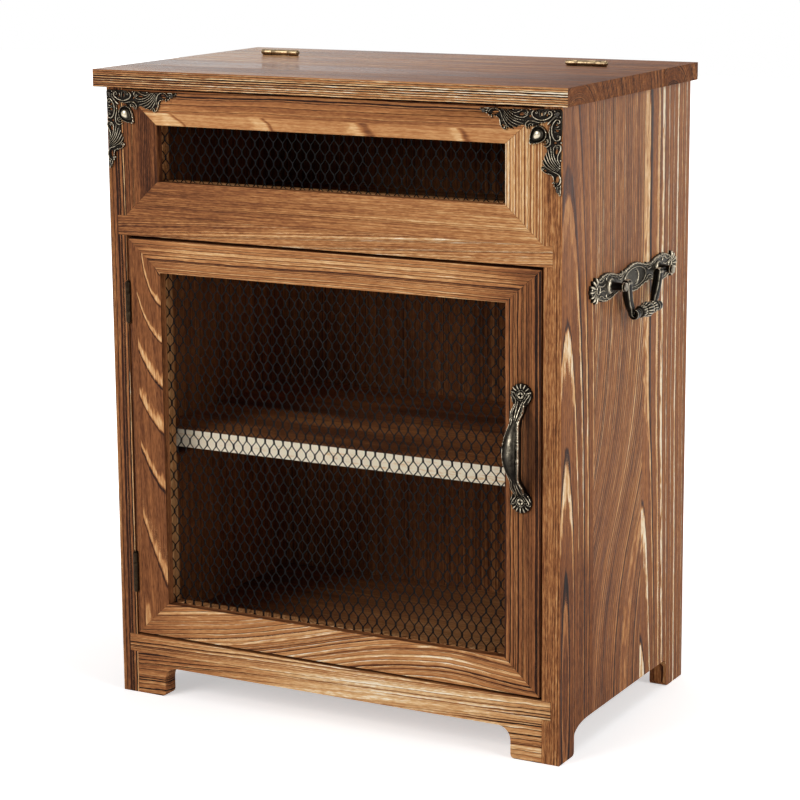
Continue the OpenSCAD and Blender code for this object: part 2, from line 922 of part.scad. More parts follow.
module at_pull_screws() {
    at_pull()
        for (s = [-1, 1])
            translate([0, -pull_end_t - pull_head_t, s * pull_pitch / 2]) rotate([90, 0, 0]) children();
}

module pull_screw_set() {
    at_pull_screws() screw(pull_screw_d, pull_screw_l + pull_head_t, pull_head_d, pull_head_t);
}

// How far the outer curve of the grip stands out, for t from -1 to 1 along it
function pull_curve(t) = pull_end_t + (pull_out - pull_end_t) * pow(cos(90 * t), 0.9);

// The grip: a bowed bar seen from the side, cut to its leaf outline seen from the front
module pull_grip() {
    steps = 16;
    half = pull_pitch / 2 - pull_head_d / 2 - pull_end_room;
    intersection() {
        translate([-pull_w, 0, 0]) rotate([90, 0, 90]) linear_extrude(2 * pull_w) polygon(concat(
            [for (i = [-steps:steps]) [-pull_curve(i / steps), half * i / steps]],
            [for (i = [steps:-1:-steps])
                [-max(0, pull_curve(i / steps) - pull_bar_t), half * i / steps * pull_hollow_share]]
        ));
        rotate([90, 0, 0]) linear_extrude(pull_out + 1) polygon(concat(
            [for (i = [-steps:steps]) [pull_half_w(i / steps), half * i / steps * pull_cut_over]],
            [for (i = [steps:-1:-steps]) [-pull_half_w(i / steps), half * i / steps * pull_cut_over]]
        ));
    }
}

module door_pull() {
    color(bronze) difference() {
        at_pull() {
            for (s = [-1, 1])
                translate([0, 0, s * pull_pitch / 2]) rotate([90, 0, 0])
                    cylinder(d = pull_end_d, h = pull_end_t);
            pull_grip();
        }
        pull_screw_set();
    }
}

function pull_half_w(t) = pull_neck_w / 2 + (pull_w - pull_neck_w) / 2 * pow(cos(90 * t), 1.5);

module door_pull_screws() {
    color(bronze) pull_screw_set();
}

// ---------- magnetic catch ----------

module catch_block() {
    translate([inner_w / 2 - catch_w, catch_y, catch_z - catch_l / 2])
        cube([catch_w, catch_d, catch_l]);
}

module catch_screw_set() {
    for (s = [-1, 1])
        translate([inner_w / 2 - catch_w, catch_y + catch_d / 2, catch_z + s * catch_screw_pitch / 2])
            rotate([0, -90, 0]) flat_screw(wood_screw_d, catch_w + side_t * screw_bite, 2 * wood_screw_d);
}

module magnet_catch() {
    color(steel) difference() {
        catch_block();
        catch_screw_set();
    }
}

module catch_screws() {
    color(zinc) catch_screw_set();
}

module strike_screw_set() {
    for (s = [-1, 1])
        translate([strike_x, strike_y + strike_t, catch_z + s * strike_screw_pitch / 2])
            rotate([-90, 0, 0]) flat_screw(strike_screw_d, strike_screw_l, strike_screw_head_d);
}

module strike_plate() {
    color(zinc) difference() {
        translate([strike_x - strike_w / 2, strike_y, catch_z - strike_l / 2])
            cube([strike_w, strike_t, strike_l]);
        strike_screw_set();
    }
}

module strike_screws() {
    color(zinc) strike_screw_set();
}

// ---------- side handles ----------
// Drawn for the right side: X points away from the panel, Y runs along it.

module at_handle() {
    translate([body_w / 2, front_y + handle_y, handle_z]) children();
}

module at_posts() {
    for (s = [-1, 1])
        translate([0, s * post_pitch / 2, 0]) children();
}

// Bolt holes through the left panel, which the right panel mirrors
module handle_bolt_holes() {
    mirror([1, 0, 0]) at_handle() at_posts()
        along_x(-side_t - 1) cylinder(d = bolt_d + bolt_play, h = side_t + 2);
}

// Half height of the back plate, for t from -1 to 1 along it
function plate_edge(t) =
    plate_half * (0.8 + 0.2 * cos(540 * t)) * pow(1 - pow(abs(t), 6), 0.5)
    + scallop_h * abs(sin(plate_scallops * 90 * t));

module handle_plate() {
    steps = 54;
    at_handle() difference() {
        union() {
            rotate([90, 0, 90]) linear_extrude(plate_t)
                polygon(concat(
                    [for (i = [-steps:steps]) [plate_l / 2 * i / steps, plate_edge(i / steps)]],
                    [for (i = [steps:-1:-steps]) [plate_l / 2 * i / steps, -plate_edge(i / steps)]]
                ));
            rotate([90, 0, 90]) linear_extrude(plate_t + medallion_t)
                polygon([for (a = [0:15:345])
                    [medallion_l / 2 * cos(a), plate_half * medallion_share * sin(a)]]);
        }
        at_posts() along_x(-1) cylinder(d = bolt_d + bolt_play, h = plate_t + 2);
    }
}

module handle_post() {
    taper_l = post_out - plate_t - post_base_t - post_head_t;
    along_x(plate_t) cylinder(d = post_base_d, h = post_base_t);
    along_x(plate_t + post_base_t) cylinder(d1 = post_d, d2 = post_neck_d, h = taper_l);
    along_x(post_out - post_head_t) cylinder(d = post_head_d, h = post_head_t);
    bolt_in = side_t + washer_t + nut_t + bolt_past_nut;
    along_x(-bolt_in) cylinder(d = bolt_d, h = bolt_in + plate_t + eps);
}

module handle_posts() {
    at_handle() difference() {
        at_posts() handle_post();
        for (s = [-1, 1])
            translate([bail_out, s * (post_pitch / 2 + bail_bore_past), 0])
                rotate([s * 90, 0, 0])
                    cylinder(d = bail_pin_d + 2 * running_gap, h = post_d);
    }
}

module handle_nuts() {
    at_handle() at_posts() difference() {
        union() {
            along_x(-side_t - washer_t) cylinder(d = washer_d, h = washer_t);
            along_x(-side_t - washer_t - nut_t) cylinder(d = nut_d, h = nut_t, $fn = 6);
        }
        along_x(-side_t - washer_t - nut_t - 1) cylinder(d = bolt_d, h = washer_t + nut_t + 2);
    }
}

// One point of an arm, as a short bar along the pin line
module arm_point(y, x, z) {
    translate([bail_out + x, y - arm_wide / 2, handle_z + z])
        rotate([-90, 0, 0]) cylinder(d = arm_deep, h = arm_wide, $fn = 32);
}

module bail() {
    top_y = bail_top_w / 2;
    low_y = bail_low_w / 2;
    route = [[top_y, 0, 0], [top_y - 1, -0.8, -bail_drop * 0.4],
        [(top_y + low_y) / 2 - 1, 0, -bail_drop * 0.8], [low_y, bail_lean, -bail_drop]];
    translate([body_w / 2, front_y + handle_y, 0]) {
        for (s = [0, 1]) mirror([0, s, 0]) {
            for (i = [0:2]) hull() {
                arm_point(route[i][0], route[i][1], route[i][2]);
                arm_point(route[i + 1][0], route[i + 1][1], route[i + 1][2]);
            }
            translate([bail_out, top_y, handle_z]) rotate([-90, 0, 0])
                cylinder(d = bail_pin_d, h = post_pitch / 2 - top_y + bail_pin_past);
            translate([bail_out + bail_lean, low_y - arm_wide / 2, handle_z - bail_drop])
                rotate([-90, 0, 0]) cylinder(d = scroll_d, h = arm_wide);
        }
        translate([bail_out + bail_lean, 0, handle_z - bail_drop])
            rotate([-90, 0, 0]) rotate_extrude() grip_profile();
    }
}

// Half outline of the grip: a large bead between two small ones
module grip_profile() {
    half = bail_low_w / 2 - arm_wide / 2 + eps;
    steps = 24;
    polygon(concat(
        [[0, -half]],
        [for (i = [-steps:steps]) [grip_r(i / steps), half * i / steps]],
        [[0, half]]
    ));
}

function grip_r(t) =
    grip_d / 2 * (grip_core + grip_swell * cos(90 * t) + grip_beads * abs(cos(270 * t)));

module left_handle_plate() {
    color(bronze) mirror([1, 0, 0]) handle_plate();
}

module right_handle_plate() {
    color(bronze) handle_plate();
}

module left_handle_posts() {
    color(bronze) mirror([1, 0, 0]) handle_posts();
}

module right_handle_posts() {
    color(bronze) handle_posts();
}

module left_handle_nuts() {
    color(zinc) mirror([1, 0, 0]) handle_nuts();
}

module right_handle_nuts() {
    color(zinc) handle_nuts();
}

module left_bail() {
    color(bronze) mirror([1, 0, 0]) bail();
}

module right_bail() {
    color(bronze) bail();
}

left_side();
right_side();
back_panel();
floor_board();
divider_board();
shelf_board();
shelf_cleats();
cleat_screws();
front_apron();
rear_top_board();
back_nails();
window_top_rail();
window_low_rail();
window_left_stile();
window_right_stile();
window_mesh();
window_battens();
left_bracket();
right_bracket();
bracket_pins();
lid_board();
lid_hinge_leaves();
top_hinge_leaves();
lid_hinge_pins();
lid_leaf_screws();
top_leaf_screws();
door_top_rail();
door_low_rail();
door_left_stile();
door_right_stile();
door_mesh();
door_battens();
door_pull();
door_pull_screws();
door_hinge_leaves();
side_hinge_leaves();
door_hinge_pins();
door_leaf_screws();
side_leaf_screws();
magnet_catch();
catch_screws();
strike_plate();
strike_screws();
left_handle_plate();
right_handle_plate();
left_handle_posts();
right_handle_posts();
left_handle_nuts();
right_handle_nuts();
left_bail();
right_bail();
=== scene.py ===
# Looks of the vegetable storage cabinet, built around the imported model. Metres, +Z up, the door faces -Y.
import json
import math

import bmesh
import bpy
import numpy as np
from mathutils import Matrix, Vector


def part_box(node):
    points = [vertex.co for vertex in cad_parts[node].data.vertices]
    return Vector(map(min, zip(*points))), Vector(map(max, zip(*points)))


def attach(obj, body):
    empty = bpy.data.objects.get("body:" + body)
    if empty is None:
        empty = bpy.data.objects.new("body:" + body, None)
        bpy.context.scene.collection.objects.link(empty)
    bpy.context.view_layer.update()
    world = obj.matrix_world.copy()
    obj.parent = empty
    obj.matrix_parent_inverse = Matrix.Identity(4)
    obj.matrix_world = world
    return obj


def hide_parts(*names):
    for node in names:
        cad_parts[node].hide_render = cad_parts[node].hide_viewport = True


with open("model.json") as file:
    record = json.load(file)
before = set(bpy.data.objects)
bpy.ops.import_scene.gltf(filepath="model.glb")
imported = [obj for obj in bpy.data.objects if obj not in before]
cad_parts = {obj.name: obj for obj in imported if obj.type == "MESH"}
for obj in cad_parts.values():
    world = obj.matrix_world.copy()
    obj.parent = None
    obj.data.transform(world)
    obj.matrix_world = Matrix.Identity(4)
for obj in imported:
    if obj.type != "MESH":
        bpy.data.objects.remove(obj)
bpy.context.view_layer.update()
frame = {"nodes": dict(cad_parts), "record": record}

mm = 0.001
weld = 0.002 * mm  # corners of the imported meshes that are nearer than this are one
axisNumber = {"x": 0, "y": 1, "z": 2}
bodyOf = {node: body for body, nodes in frame["record"]["behaviour"]["bodies"].items() for node in nodes}
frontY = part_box("left_side")[0].y
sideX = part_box("right_side")[1].x


# ---- node trees ----
class Signal:  # the output of a node: sums, products and the like of it are maths nodes
    def __init__(self, tree, socket):
        self.tree, self.socket = tree, socket

    def __add__(self, other):
        return calc(self.tree, "ADD", self, other)

    def __sub__(self, other):
        return calc(self.tree, "SUBTRACT", self, other)

    def __rsub__(self, other):
        return calc(self.tree, "SUBTRACT", other, self)

    def __mul__(self, other):
        return calc(self.tree, "MULTIPLY", self, other)

    def __truediv__(self, other):
        return calc(self.tree, "DIVIDE", self, other)

    def __pow__(self, other):
        return calc(self.tree, "POWER", self, other)


def feed(tree, socket, value):
    if isinstance(value, Signal):
        tree.links.new(value.socket, socket)
    elif value is not None:
        socket.default_value = value


def addNode(tree, kind, inputs, output=0, **settings):
    node = tree.nodes.new(kind)
    for name, value in settings.items():
        setattr(node, name, value)
    for key, value in inputs.items():
        feed(tree, node.inputs[key], value)
    return Signal(tree, node.outputs[output])


def signals(tree, node):
    return {socket.name: Signal(tree, socket) for socket in node.outputs}


def split(tree, vector):
    node = tree.nodes.new("ShaderNodeSeparateXYZ")
    feed(tree, node.inputs[0], vector)
    return [Signal(tree, socket) for socket in node.outputs]


def calc(tree, operation, *values, clamp=False):
    return addNode(tree, "ShaderNodeMath", dict(enumerate(values)), operation=operation, use_clamp=clamp)


def vectorCalc(tree, operation, *values, output="Vector"):
    return addNode(tree, "ShaderNodeVectorMath", dict(enumerate(values)), output, operation=operation)


def remap(tree, value, low, high, toLow=0.0, toHigh=1.0, smooth=True):
    inputs = {"Value": value, "From Min": low, "From Max": high, "To Min": toLow, "To Max": toHigh}
    kind = "SMOOTHSTEP" if smooth else "LINEAR"
    return addNode(tree, "ShaderNodeMapRange", inputs, "Result", interpolation_type=kind)


def noiseAt(tree, vector, scale=1.0, detail=2.0, roughness=0.5, output="Fac"):
    inputs = {"Vector": vector, "Scale": scale, "Detail": detail, "Roughness": roughness}
    return addNode(tree, "ShaderNodeTexNoise", inputs, output)


def mixColour(tree, factor, first, second, mode="MIX"):
    return addNode(tree, "ShaderNodeMix", {0: factor, 6: first, 7: second}, 2, data_type="RGBA", blend_type=mode)


def bumpFrom(tree, height, distance, strength=1.0):
    return addNode(tree, "ShaderNodeBump", {"Height": height, "Distance": distance, "Strength": strength}, "Normal")


def attribute(tree, name):
    node = tree.nodes.new("ShaderNodeAttribute")
    node.attribute_name = name
    return signals(tree, node)


def srgb(red, green, blue):  # a colour as seen on screen, 0 to 255, as the linear one that nodes need
    shares = [value / 255 for value in (red, green, blue)]
    return (*(share / 12.92 if share <= 0.04045 else ((share + 0.055) / 1.055) ** 2.4 for share in shares), 1.0)


def newTree(name, kind, inputs, outputs):  # inputs and outputs are names with the last word of their socket types
    tree = bpy.data.node_groups.new(name, kind)
    for way, rows in (("INPUT", inputs), ("OUTPUT", outputs)):
        for label, ending in rows.items():
            tree.interface.new_socket(label, in_out=way, socket_type="NodeSocket" + ending)
    return tree, signals(tree, tree.nodes.new("NodeGroupInput")), tree.nodes.new("NodeGroupOutput").inputs


def newMaterial(name, **shader):  # shader values that are the same all over go straight on its sockets
    material = bpy.data.materials.new(name)
    material.use_nodes = True
    tree = material.node_tree
    principled = tree.nodes["Principled BSDF"]
    for label, value in shader.items():
        principled.inputs[label.replace("_", " ")].default_value = value
    return material, tree, principled.inputs


# ---- meshes ----
def link(name, data):
    thing = bpy.data.objects.new(name, data)
    bpy.context.scene.collection.objects.link(thing)
    return thing


def smooth(data, angle):
    data.shade_smooth()
    data.set_sharp_from_angle(angle=math.radians(angle))


def newObject(name, mesh, material=None, smoothAngle=None):
    data = bpy.data.meshes.new(name)
    mesh.to_mesh(data)
    mesh.free()
    if smoothAngle is not None:
        smooth(data, smoothAngle)
    if material:
        data.materials.append(material)
    return link(name, data)


def packedMesh(node, angle):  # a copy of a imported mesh, welded, with its flat faces whole
    mesh = bmesh.new()
    mesh.from_mesh(frame["nodes"][node].data)
    bmesh.ops.remove_doubles(mesh, verts=mesh.verts, dist=weld)
    bmesh.ops.dissolve_limit(mesh, angle_limit=math.radians(angle), verts=mesh.verts, edges=mesh.edges)
    bmesh.ops.recalc_face_normals(mesh, faces=mesh.faces)
    return mesh


def sharpEdges(mesh, angle):
    return [edge for edge in mesh.edges if len(edge.link_faces) == 2 and edge.calc_face_angle() > math.radians(angle)]


def bevel(mesh, edges, width, profile):
    bmesh.ops.bevel(mesh, geom=edges, offset=width * mm, segments=2, profile=profile, affect="EDGES",
                    clamp_overlap=True)


def halve(mesh, axis, at, way=1, **options):
    point, normal = Vector((0, 0, 0)), Vector((0, 0, 0))
    point[axis], normal[axis] = at, way
    everything = mesh.verts[:] + mesh.edges[:] + mesh.faces[:]
    return bmesh.ops.bisect_plane(mesh, geom=everything, plane_co=point, plane_no=normal, **options)


def joinRings(mesh, rings, capped=True):  # rings of corners, each joined to the next
    count = len(rings[0])
    for low, high in zip(rings, rings[1:]):
        for k in range(count):
            mesh.faces.new((low[k], low[(k + 1) % count], high[(k + 1) % count], high[k]))
    if capped:
        mesh.faces.new(list(reversed(rings[0])))
        mesh.faces.new(rings[-1])


def bakedMesh(holder):  # the mesh after its modifiers
    bpy.context.view_layer.update()
    return bpy.data.meshes.new_from_object(holder.evaluated_get(bpy.context.evaluated_depsgraph_get()))


def hand(piece, node):  # the piece takes the place and body of the imported node, which is hidden
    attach(piece, bodyOf[node])
    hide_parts(node)


# ---- camera, floor and light ----
studio = {
    "cameraPlace": (1.030, -1.90145, 0.7341), "yaw": 28.369, "pitch": 11.548, "roll": 0.405, "lens": 112.91,
    "sensor": 36, "shiftY": -0.04, "farthest": 50, "floorReach": 6.0, "floorColour": (0.93, 0.92, 0.92, 1),
    "floorGlow": 0.47, "farGlow": 1.3, "glowFrom": 1.2, "glowTo": 2.6, "ambient": 0.26, "mirrored": 0.5,
}
softboxes = {  # place, point it faces, size in metres and power in watts
    "frontLeft": ((-1.1, -2.2, 1.5), (0, 0, 0.28), (1.4, 1.4), 38),
    "rightSide": ((2.4, -0.5, 1.3), (0, 0, 0.28), (1.2, 1.4), 26.5),
    "overhead": ((0.2, 0.6, 2.2), (0, 0, 0.5), (1.6, 1.2), 15),
}


def aimCamera(values):
    yaw, pitch, roll = (math.radians(values[key]) for key in ("yaw", "pitch", "roll"))
    forward = Vector((-math.sin(yaw) * math.cos(pitch), math.cos(yaw) * math.cos(pitch), -math.sin(pitch)))
    level = Vector((math.cos(yaw), math.sin(yaw), 0))
    right = math.cos(roll) * level + math.sin(roll) * forward.cross(level)
    turn = Matrix((right, right.cross(forward), -forward)).transposed().to_4x4()
    data = bpy.data.cameras.new("camera")
    data.lens, data.sensor_width = values["lens"], values["sensor"]
    data.shift_y, data.clip_end = values["shiftY"], values["farthest"]
    camera = link("camera", data)
    camera.matrix_world = Matrix.Translation(values["cameraPlace"]) @ turn
    bpy.context.scene.camera = camera


def seenByCamera(tree):  # 1 for camera and glass rays, which see the plain white background, less for mirror rays
    rays = signals(tree, tree.nodes.new("ShaderNodeLightPath"))
    seen = rays["Is Glossy Ray"] * studio["mirrored"] + rays["Is Camera Ray"]
    return calc(tree, "ADD", seen, rays["Is Transmission Ray"], clamp=True)


def makeWorld(values):
    world = bpy.data.worlds.new("studio")
    world.use_nodes = True
    tree = world.node_tree
    background = tree.nodes["Background"].inputs
    background["Color"].default_value = (1, 1, 1, 1)
    feed(tree, background["Strength"], remap(tree, seenByCamera(tree), 0, 1, values["ambient"], 1.0, smooth=False))
    bpy.context.scene.world = world


def makeFloor(values):
    mesh, reach = bpy.data.meshes.new("floor"), values["floorReach"]
    corners = [(-reach, -reach, 0), (reach, -reach, 0), (reach, reach, 0), (-reach, reach, 0)]
    mesh.from_pydata(corners, [], [(0, 1, 2, 3)])
    material, tree, shader = newMaterial("floorPaint", Roughness=0.9, Base_Color=values["floorColour"],
                                         Specular_IOR_Level=0.1, Emission_Color=(1, 1, 1, 1))
    place = addNode(tree, "ShaderNodeTexCoord", {}, "Object")
    away = vectorCalc(tree, "LENGTH", vectorCalc(tree, "MULTIPLY", place, (3.3, 4.2, 0)), output="Value")
    glow = remap(tree, away, values["glowFrom"], values["glowTo"], values["floorGlow"], values["farGlow"])
    feed(tree, shader["Emission Strength"], seenByCamera(tree) * glow)
    mesh.materials.append(material)
    link("floor", mesh)


def makeSoftbox(name, place, target, size, power):
    data = bpy.data.lights.new(name, "AREA")
    data.shape, data.energy = "RECTANGLE", power
    data.size, data.size_y = size
    light = link(name, data)
    light.location = place
    light.rotation_euler = (Vector(target) - Vector(place)).to_track_quat("-Z", "Y").to_euler()


aimCamera(studio)
makeWorld(studio)
makeFloor(studio)
for name, values in softboxes.items():
    makeSoftbox(name, *values)
bpy.context.scene.view_settings.view_transform = "Standard"
print("studio ready")


# ---- pine ----
# A board's growth rings are worked out in its own coordinates: u and v from the heart of the tree, w along the grain.
pineColours = [
    (0.00, srgb(24, 12, 8)), (0.14, srgb(56, 29, 17)), (0.30, srgb(97, 55, 31)), (0.46, srgb(142, 88, 51)),
    (0.62, srgb(182, 123, 74)), (0.78, srgb(214, 163, 109)), (0.90, srgb(236, 199, 149)), (1.00, srgb(255, 242, 216)),
]
grainNoise = {  # spots in a metre across and along the grain, detail and roughness
    "slow": (16, 4.5, 1, 0.5), "quick": (70, 26, 2, 0.6), "ragged": (420, 60, 2, 0.6), "jag": (260, 55, 2, 0.6),
    "streak": (260, 5.5, 3, 0.6), "fibre": (700, 26, 2, 0.6), "speck": (1000, 170, 1, 0.6), "patch": (20, 5, 2, 0.55),
}
pineLook = {  # how much each part of the figure moves the tone, then the sheen and the relief in metres
    "streak": 0.16, "fibre": 0.115, "speck": 0.11, "crest": 0.40, "crestFibre": 0.14, "line": 0.40, "smokeAndShade": 0.12,
    "edge": 0.16, "smokeAndShadeTint": srgb(208, 208, 220), "specular": 0.1, "roughness": 0.52, "relief": 0.0003,
}


def ramp(tree, value, stops):
    node = tree.nodes.new("ShaderNodeValToRGB")
    feed(tree, node.inputs[0], value)
    stopList = node.color_ramp.elements
    while len(stopList) < len(stops):
        stopList.new(0.5)
    for stop, (place, colour) in zip(stopList, stops):
        stop.position, stop.color = place, colour
    return Signal(tree, node.outputs["Color"])


def growthRings():
    inputs = dict(dict.fromkeys(("Place", "Fibres"), "Vector"), **dict.fromkeys(
        ("Spacing", "Wander", "Seed", "Band", "Width", "Vary", "Offset"), "Float"))
    outputs = dict.fromkeys(("Line", "Crest", "Streak", "Fibre", "Speck", "Patch"), "Float")
    group, given, result = newTree("growthRings", "ShaderNodeTree", inputs, outputs)
    seed, vary = given["Seed"], given["Vary"]
    shift = addNode(group, "ShaderNodeCombineXYZ", {i: seed * by for i, by in enumerate((1.7, -2.3, 3.1))})

    def noiseOf(name, output="Fac"):
        across, along, detail, roughness = grainNoise[name]
        spot = vectorCalc(group, "ADD", vectorCalc(group, "MULTIPLY", given["Fibres"], (across, across, along)), shift)
        return noiseAt(group, spot, 1.0, detail, roughness, output)

    slow, quick = (split(group, vectorCalc(group, "SUBTRACT", noiseOf(name, "Color"), (0.5, 0.5, 0.5)))
                   for name in ("slow", "quick"))
    place = split(group, given["Place"])
    u, v = ((quick[i] * 0.25 + slow[i]) * (given["Wander"] * 3.0) + place[i] for i in (0, 1))
    radius = calc(group, "SQRT", u ** 2 + v ** 2)
    turns = (radius + (noiseOf("ragged") - 0.5) * 0.0010) / given["Spacing"]
    uneven = addNode(group, "ShaderNodeTexNoise", {"W": turns * 0.37 + seed, "Detail": 1.0}, "Fac",
                     noise_dimensions="1D")
    phase = turns + given["Offset"] + (uneven - 0.5) * (vary * 1.8)
    ring = calc(group, "FLOOR", phase)
    part = phase - ring
    number = calc(group, "MULTIPLY_ADD", ring, 1.37, seed)
    luck = split(group, addNode(group, "ShaderNodeTexWhiteNoise", {"W": number}, "Color", noise_dimensions="1D"))
    lineFrom = 1.0 - given["Width"] * (luck[0] * 0.8 + 0.6)
    onLine = remap(group, part, lineFrom - 0.06, lineFrom + 0.02)
    past = remap(group, part, 0.95, 1.0, 1.0, 0.0)
    weight = remap(group, luck[1], 0.0, 1.0, vary * -0.6 + 1.0, 1.0, smooth=False)
    flat = (v / radius) ** 2  # 1 where the ring lies flat in the face
    band = given["Band"] * (luck[1] * 0.6 + 0.7) * (flat * 0.9 + 0.75)
    jag = (noiseOf("jag") - 0.5) * (band * 1.6)
    crestFrom = lineFrom - band
    onCrest = remap(group, part + jag, crestFrom, band * 0.45 + crestFrom)
    chosen = remap(group, luck[2], 0.15, 0.8, 1.0 - vary, 1.0)
    feed(group, result["Line"], onLine * past * weight)
    feed(group, result["Crest"], onCrest * (1.0 - onLine) * chosen)
    for label, low, high in (("Streak", 0.3, 0.7), ("Fibre", 0.34, 0.66), ("Speck", 0.36, 0.64)):
        feed(group, result[label], remap(group, noiseOf(label.lower()), low, high, smooth=False))
    feed(group, result["Patch"], noiseOf("patch"))
    return group


def makePine(name, rings, polish=0.0):  # polish adds gloss where the board is smoked
    material, tree, shader = newMaterial(name, Specular_IOR_Level=pineLook["specular"])
    growth, stain, figure, grain, fibres, edge = (
        attribute(tree, each) for each in ("growth", "stain", "figure", "grain", "fibres", "edge"))
    size, finish, shape = (split(tree, each["Vector"]) for each in (growth, stain, figure))
    node = tree.nodes.new("ShaderNodeGroup")
    node.node_tree = rings
    for label, value in {"Place": grain["Vector"], "Fibres": fibres["Vector"], "Spacing": size[0] * mm,
                         "Wander": size[1] * mm, "Seed": size[2], "Band": shape[0], "Width": shape[1],
                         "Vary": shape[2], "Offset": figure["Alpha"]}.items():
        feed(tree, node.inputs[label], value)
    found, look = signals(tree, node), pineLook
    line, crest, fibre = found["Line"], found["Crest"], found["Fibre"]
    # greyed patches: smoke stains on the outside boards, a painted shade on the inside faces
    smokeAndShade = remap(tree, found["Patch"], 0.42, 0.64) * stain["Alpha"]
    fine = (fibre - 0.5) * look["fibre"] + (found["Speck"] - 0.5) * look["speck"]
    tone = finish[0] + (found["Streak"] - 0.5) * look["streak"] + fine * growth["Alpha"]
    tone += crest * finish[2] * (fibre * look["crestFibre"] + look["crest"]) - line * finish[1] * look["line"]
    tone += edge["Fac"] * fibre * look["edge"] - smokeAndShade * look["smokeAndShade"]
    colour = ramp(tree, tone, pineColours)
    grey = mixColour(tree, 1.0, colour, look["smokeAndShadeTint"], "MULTIPLY")
    feed(tree, shader["Base Color"], mixColour(tree, smokeAndShade, colour, grey))
    rough = fibre * 0.18 + look["roughness"] - line * 0.08
    if polish:
        feed(tree, shader["Specular IOR Level"], stain["Alpha"] * polish + look["specular"])
        rough -= stain["Alpha"] * polish
    feed(tree, shader["Roughness"], rough)
    feed(tree, shader["Normal"], bumpFrom(tree, fibre * 0.5 - crest * 0.5 + line * 0.6, look["relief"]))
    return material


ringGroup = growthRings()
pine = makePine("pine", ringGroup)
pineTop = makePine("pineTop", ringGroup, 0.5)
plain = dict(lean=(0, 0), fibre=1.0, band=0.4, width=0.22, vary=0.8, offset=0)


def grow(tone, line, crest, smokeAndShade, spacing, wander, heart, seed, **more):
    return dict(plain, tone=tone, line=line, crest=crest, smokeAndShade=smokeAndShade, spacing=spacing, wander=wander, heart=heart,
                seed=seed, **more)


# One row per board: the grain's axis, its show face, and zones across it, each up to a place in mm from the board's
# lowest edge. A zone is grow(tone, line, crest, smokeAndShade, spacing, wander, heart, seed, ...): tone is 0 dark to
# 1 pale, line the dark rings, crest the pale band inside each, smokeAndShade the greyed patches, which are smoke stains
# on the outside and a painted shade on the inside faces, spacing and wander of the rings in mm, heart the heart's
# place in mm across from the zone's middle and behind the face. lean is how far that place drifts for each mm along
# the grain, drift the same as rows of (mm along, across, behind), fibre the fine streaks, band and width the shares of
# a ring that are pale and dark, vary how uneven the rings are. fades are rows of (share along the board, change of
# tone, share of line, of crest and, if given, of smokeAndShade). front is the finish of the faces turned to the front,
# inner that of the faces away from the show face, side that of all others off it.
reveal = grow(0.44, 0.5, 0.1, 1, 2.4, 0.5, (60, 8), 90)
# dim is the finish of the inside faces: a lower tone than their pale wood, with greyed patches, a painted shade for the
# dark inside of the cabinet
dim = grow(0.47, 0.6, 0.2, 1, 4, 1, (60, 12), 93)
endBoard = grow(0.48, 1, 0.3, 0, 2.8, 0.8, (-26, 20), 53)
# topSheenFades raise the top boards' tone towards their left ends, a painted sheen for light reflected off the lid;
# their last column adds smoke patches and gloss there
topSheenFades = [(0, 0.29, 1, 1, 1.9), (0.5, 0.11, 1, 1, 1.15), (1, -0.04, 1, 1, 0.2)]
sideFades = [(0, 0.02, 1, 1, 0.1), (0.45, 0.04, 1, 1, 0.2), (0.75, 0.05, 1, 1, 0.45), (1, 0.05, 1, 1, 0.85)]
endFades = [(0, -0.13, 1.3, 0.8), (0.15, 0, 1, 1), (0.8, 0.03, 1, 1), (1, -0.12, 1.3, 0.7)]
